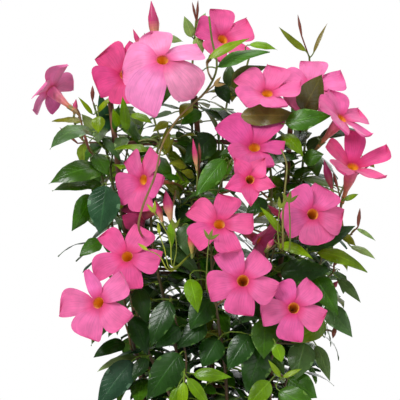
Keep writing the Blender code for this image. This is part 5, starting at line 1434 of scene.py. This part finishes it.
view = {"distance": 3.0, "frame": 0.4, "aim": (-0.010, -0.04, 0.4), "sensor": 36}
# Each light's place, size in metres and power in watts. The sky's brightness from the ground up
lights = {
    "key": ((-1.1, -1.6, 1.9), 0.8, 40.0), "fill": ((1.7, -1.5, 0.9), 1.4, 9.0),
    "top": ((0.3, 0.5, 2.2), 1.2, 13.0), "back": ((0.9, 2.0, 1.1), 1.4, 12.0),
}
skyStops = [(0.3, 0.12), (0.55, 0.3), (1.0, 0.55)]
floorShape = {"radius": 1.2, "drop": 0.0005, "sides": 64, "colour": "#eeeeec"}


# Card, coated and smooth: pale, with no pattern at this distance.
def cardSkin(add):
    return add("BsdfPrincipled", {"Base Color": hexColour(floorShape["colour"]), "Roughness": 0.8})


# A flat disc of card under the pot, small enough to stay below the picture's lower edge.
def makeFloor():
    sides, radius = floorShape["sides"], floorShape["radius"]
    turn = np.arange(sides) * 2 * np.pi / sides
    ring = np.stack((np.cos(turn), np.sin(turn), np.full(sides, -floorShape["drop"])), axis=1)
    mesh = bpy.data.meshes.new("floor")
    mesh.from_pydata((ring * (radius, radius, 1)).tolist(), [], [list(range(sides))])
    mesh.materials.append(makeMaterial("pale_card", cardSkin))
    addObject("floor", mesh)


# A square soft box that faces the plant.
def addLight(name, place, size, power):
    lamp = bpy.data.lights.new(name, "AREA")
    lamp.size = size
    lamp.energy = power
    item = addObject(name, lamp)
    item.location = place
    item.rotation_mode = "QUATERNION"
    item.rotation_quaternion = (Vector((0, 0, 0.38)) - Vector(place)).to_track_quat("-Z", "Y")


makeFloor()
for name, (place, size, power) in lights.items():
    addLight(name, place, size, power)
world = bpy.data.worlds.new("studio")
bpy.context.scene.world = world
world.use_nodes = True
sky = world.node_tree
seen = addNode(sky, "LightPath", take="Is Camera Ray")
place = addNode(sky, "TexCoord", take="Generated")
rise = addNode(sky, "SeparateXYZ", links={"Vector": place}, take="Z")
height = addNode(sky, "Math", {"operation": "MULTIPLY_ADD", 1: 0.5, 2: 0.5}, {0: rise})
level = addNode(sky, "ValToRGB", {"stops": skyStops}, {"Fac": height})
tint = addNode(sky, "Mix", {**laying, 7: (1.0, 1.0, 1.0, 1.0)}, {0: seen, 6: level}, 2)
sky.links.new(tint, sky.nodes["Background"].inputs["Color"])
bpy.context.scene.view_settings.view_transform = "Standard"
camera = addObject("camera", bpy.data.cameras.new("camera"))
camera.data.sensor_width = view["sensor"]
camera.data.lens = view["sensor"] * view["distance"] / view["frame"]
camera.location = (view["aim"][0], view["aim"][1] - view["distance"], view["aim"][2])
camera.rotation_euler = (math.radians(90), 0, 0)
bpy.context.scene.camera = camera
print("stage set")
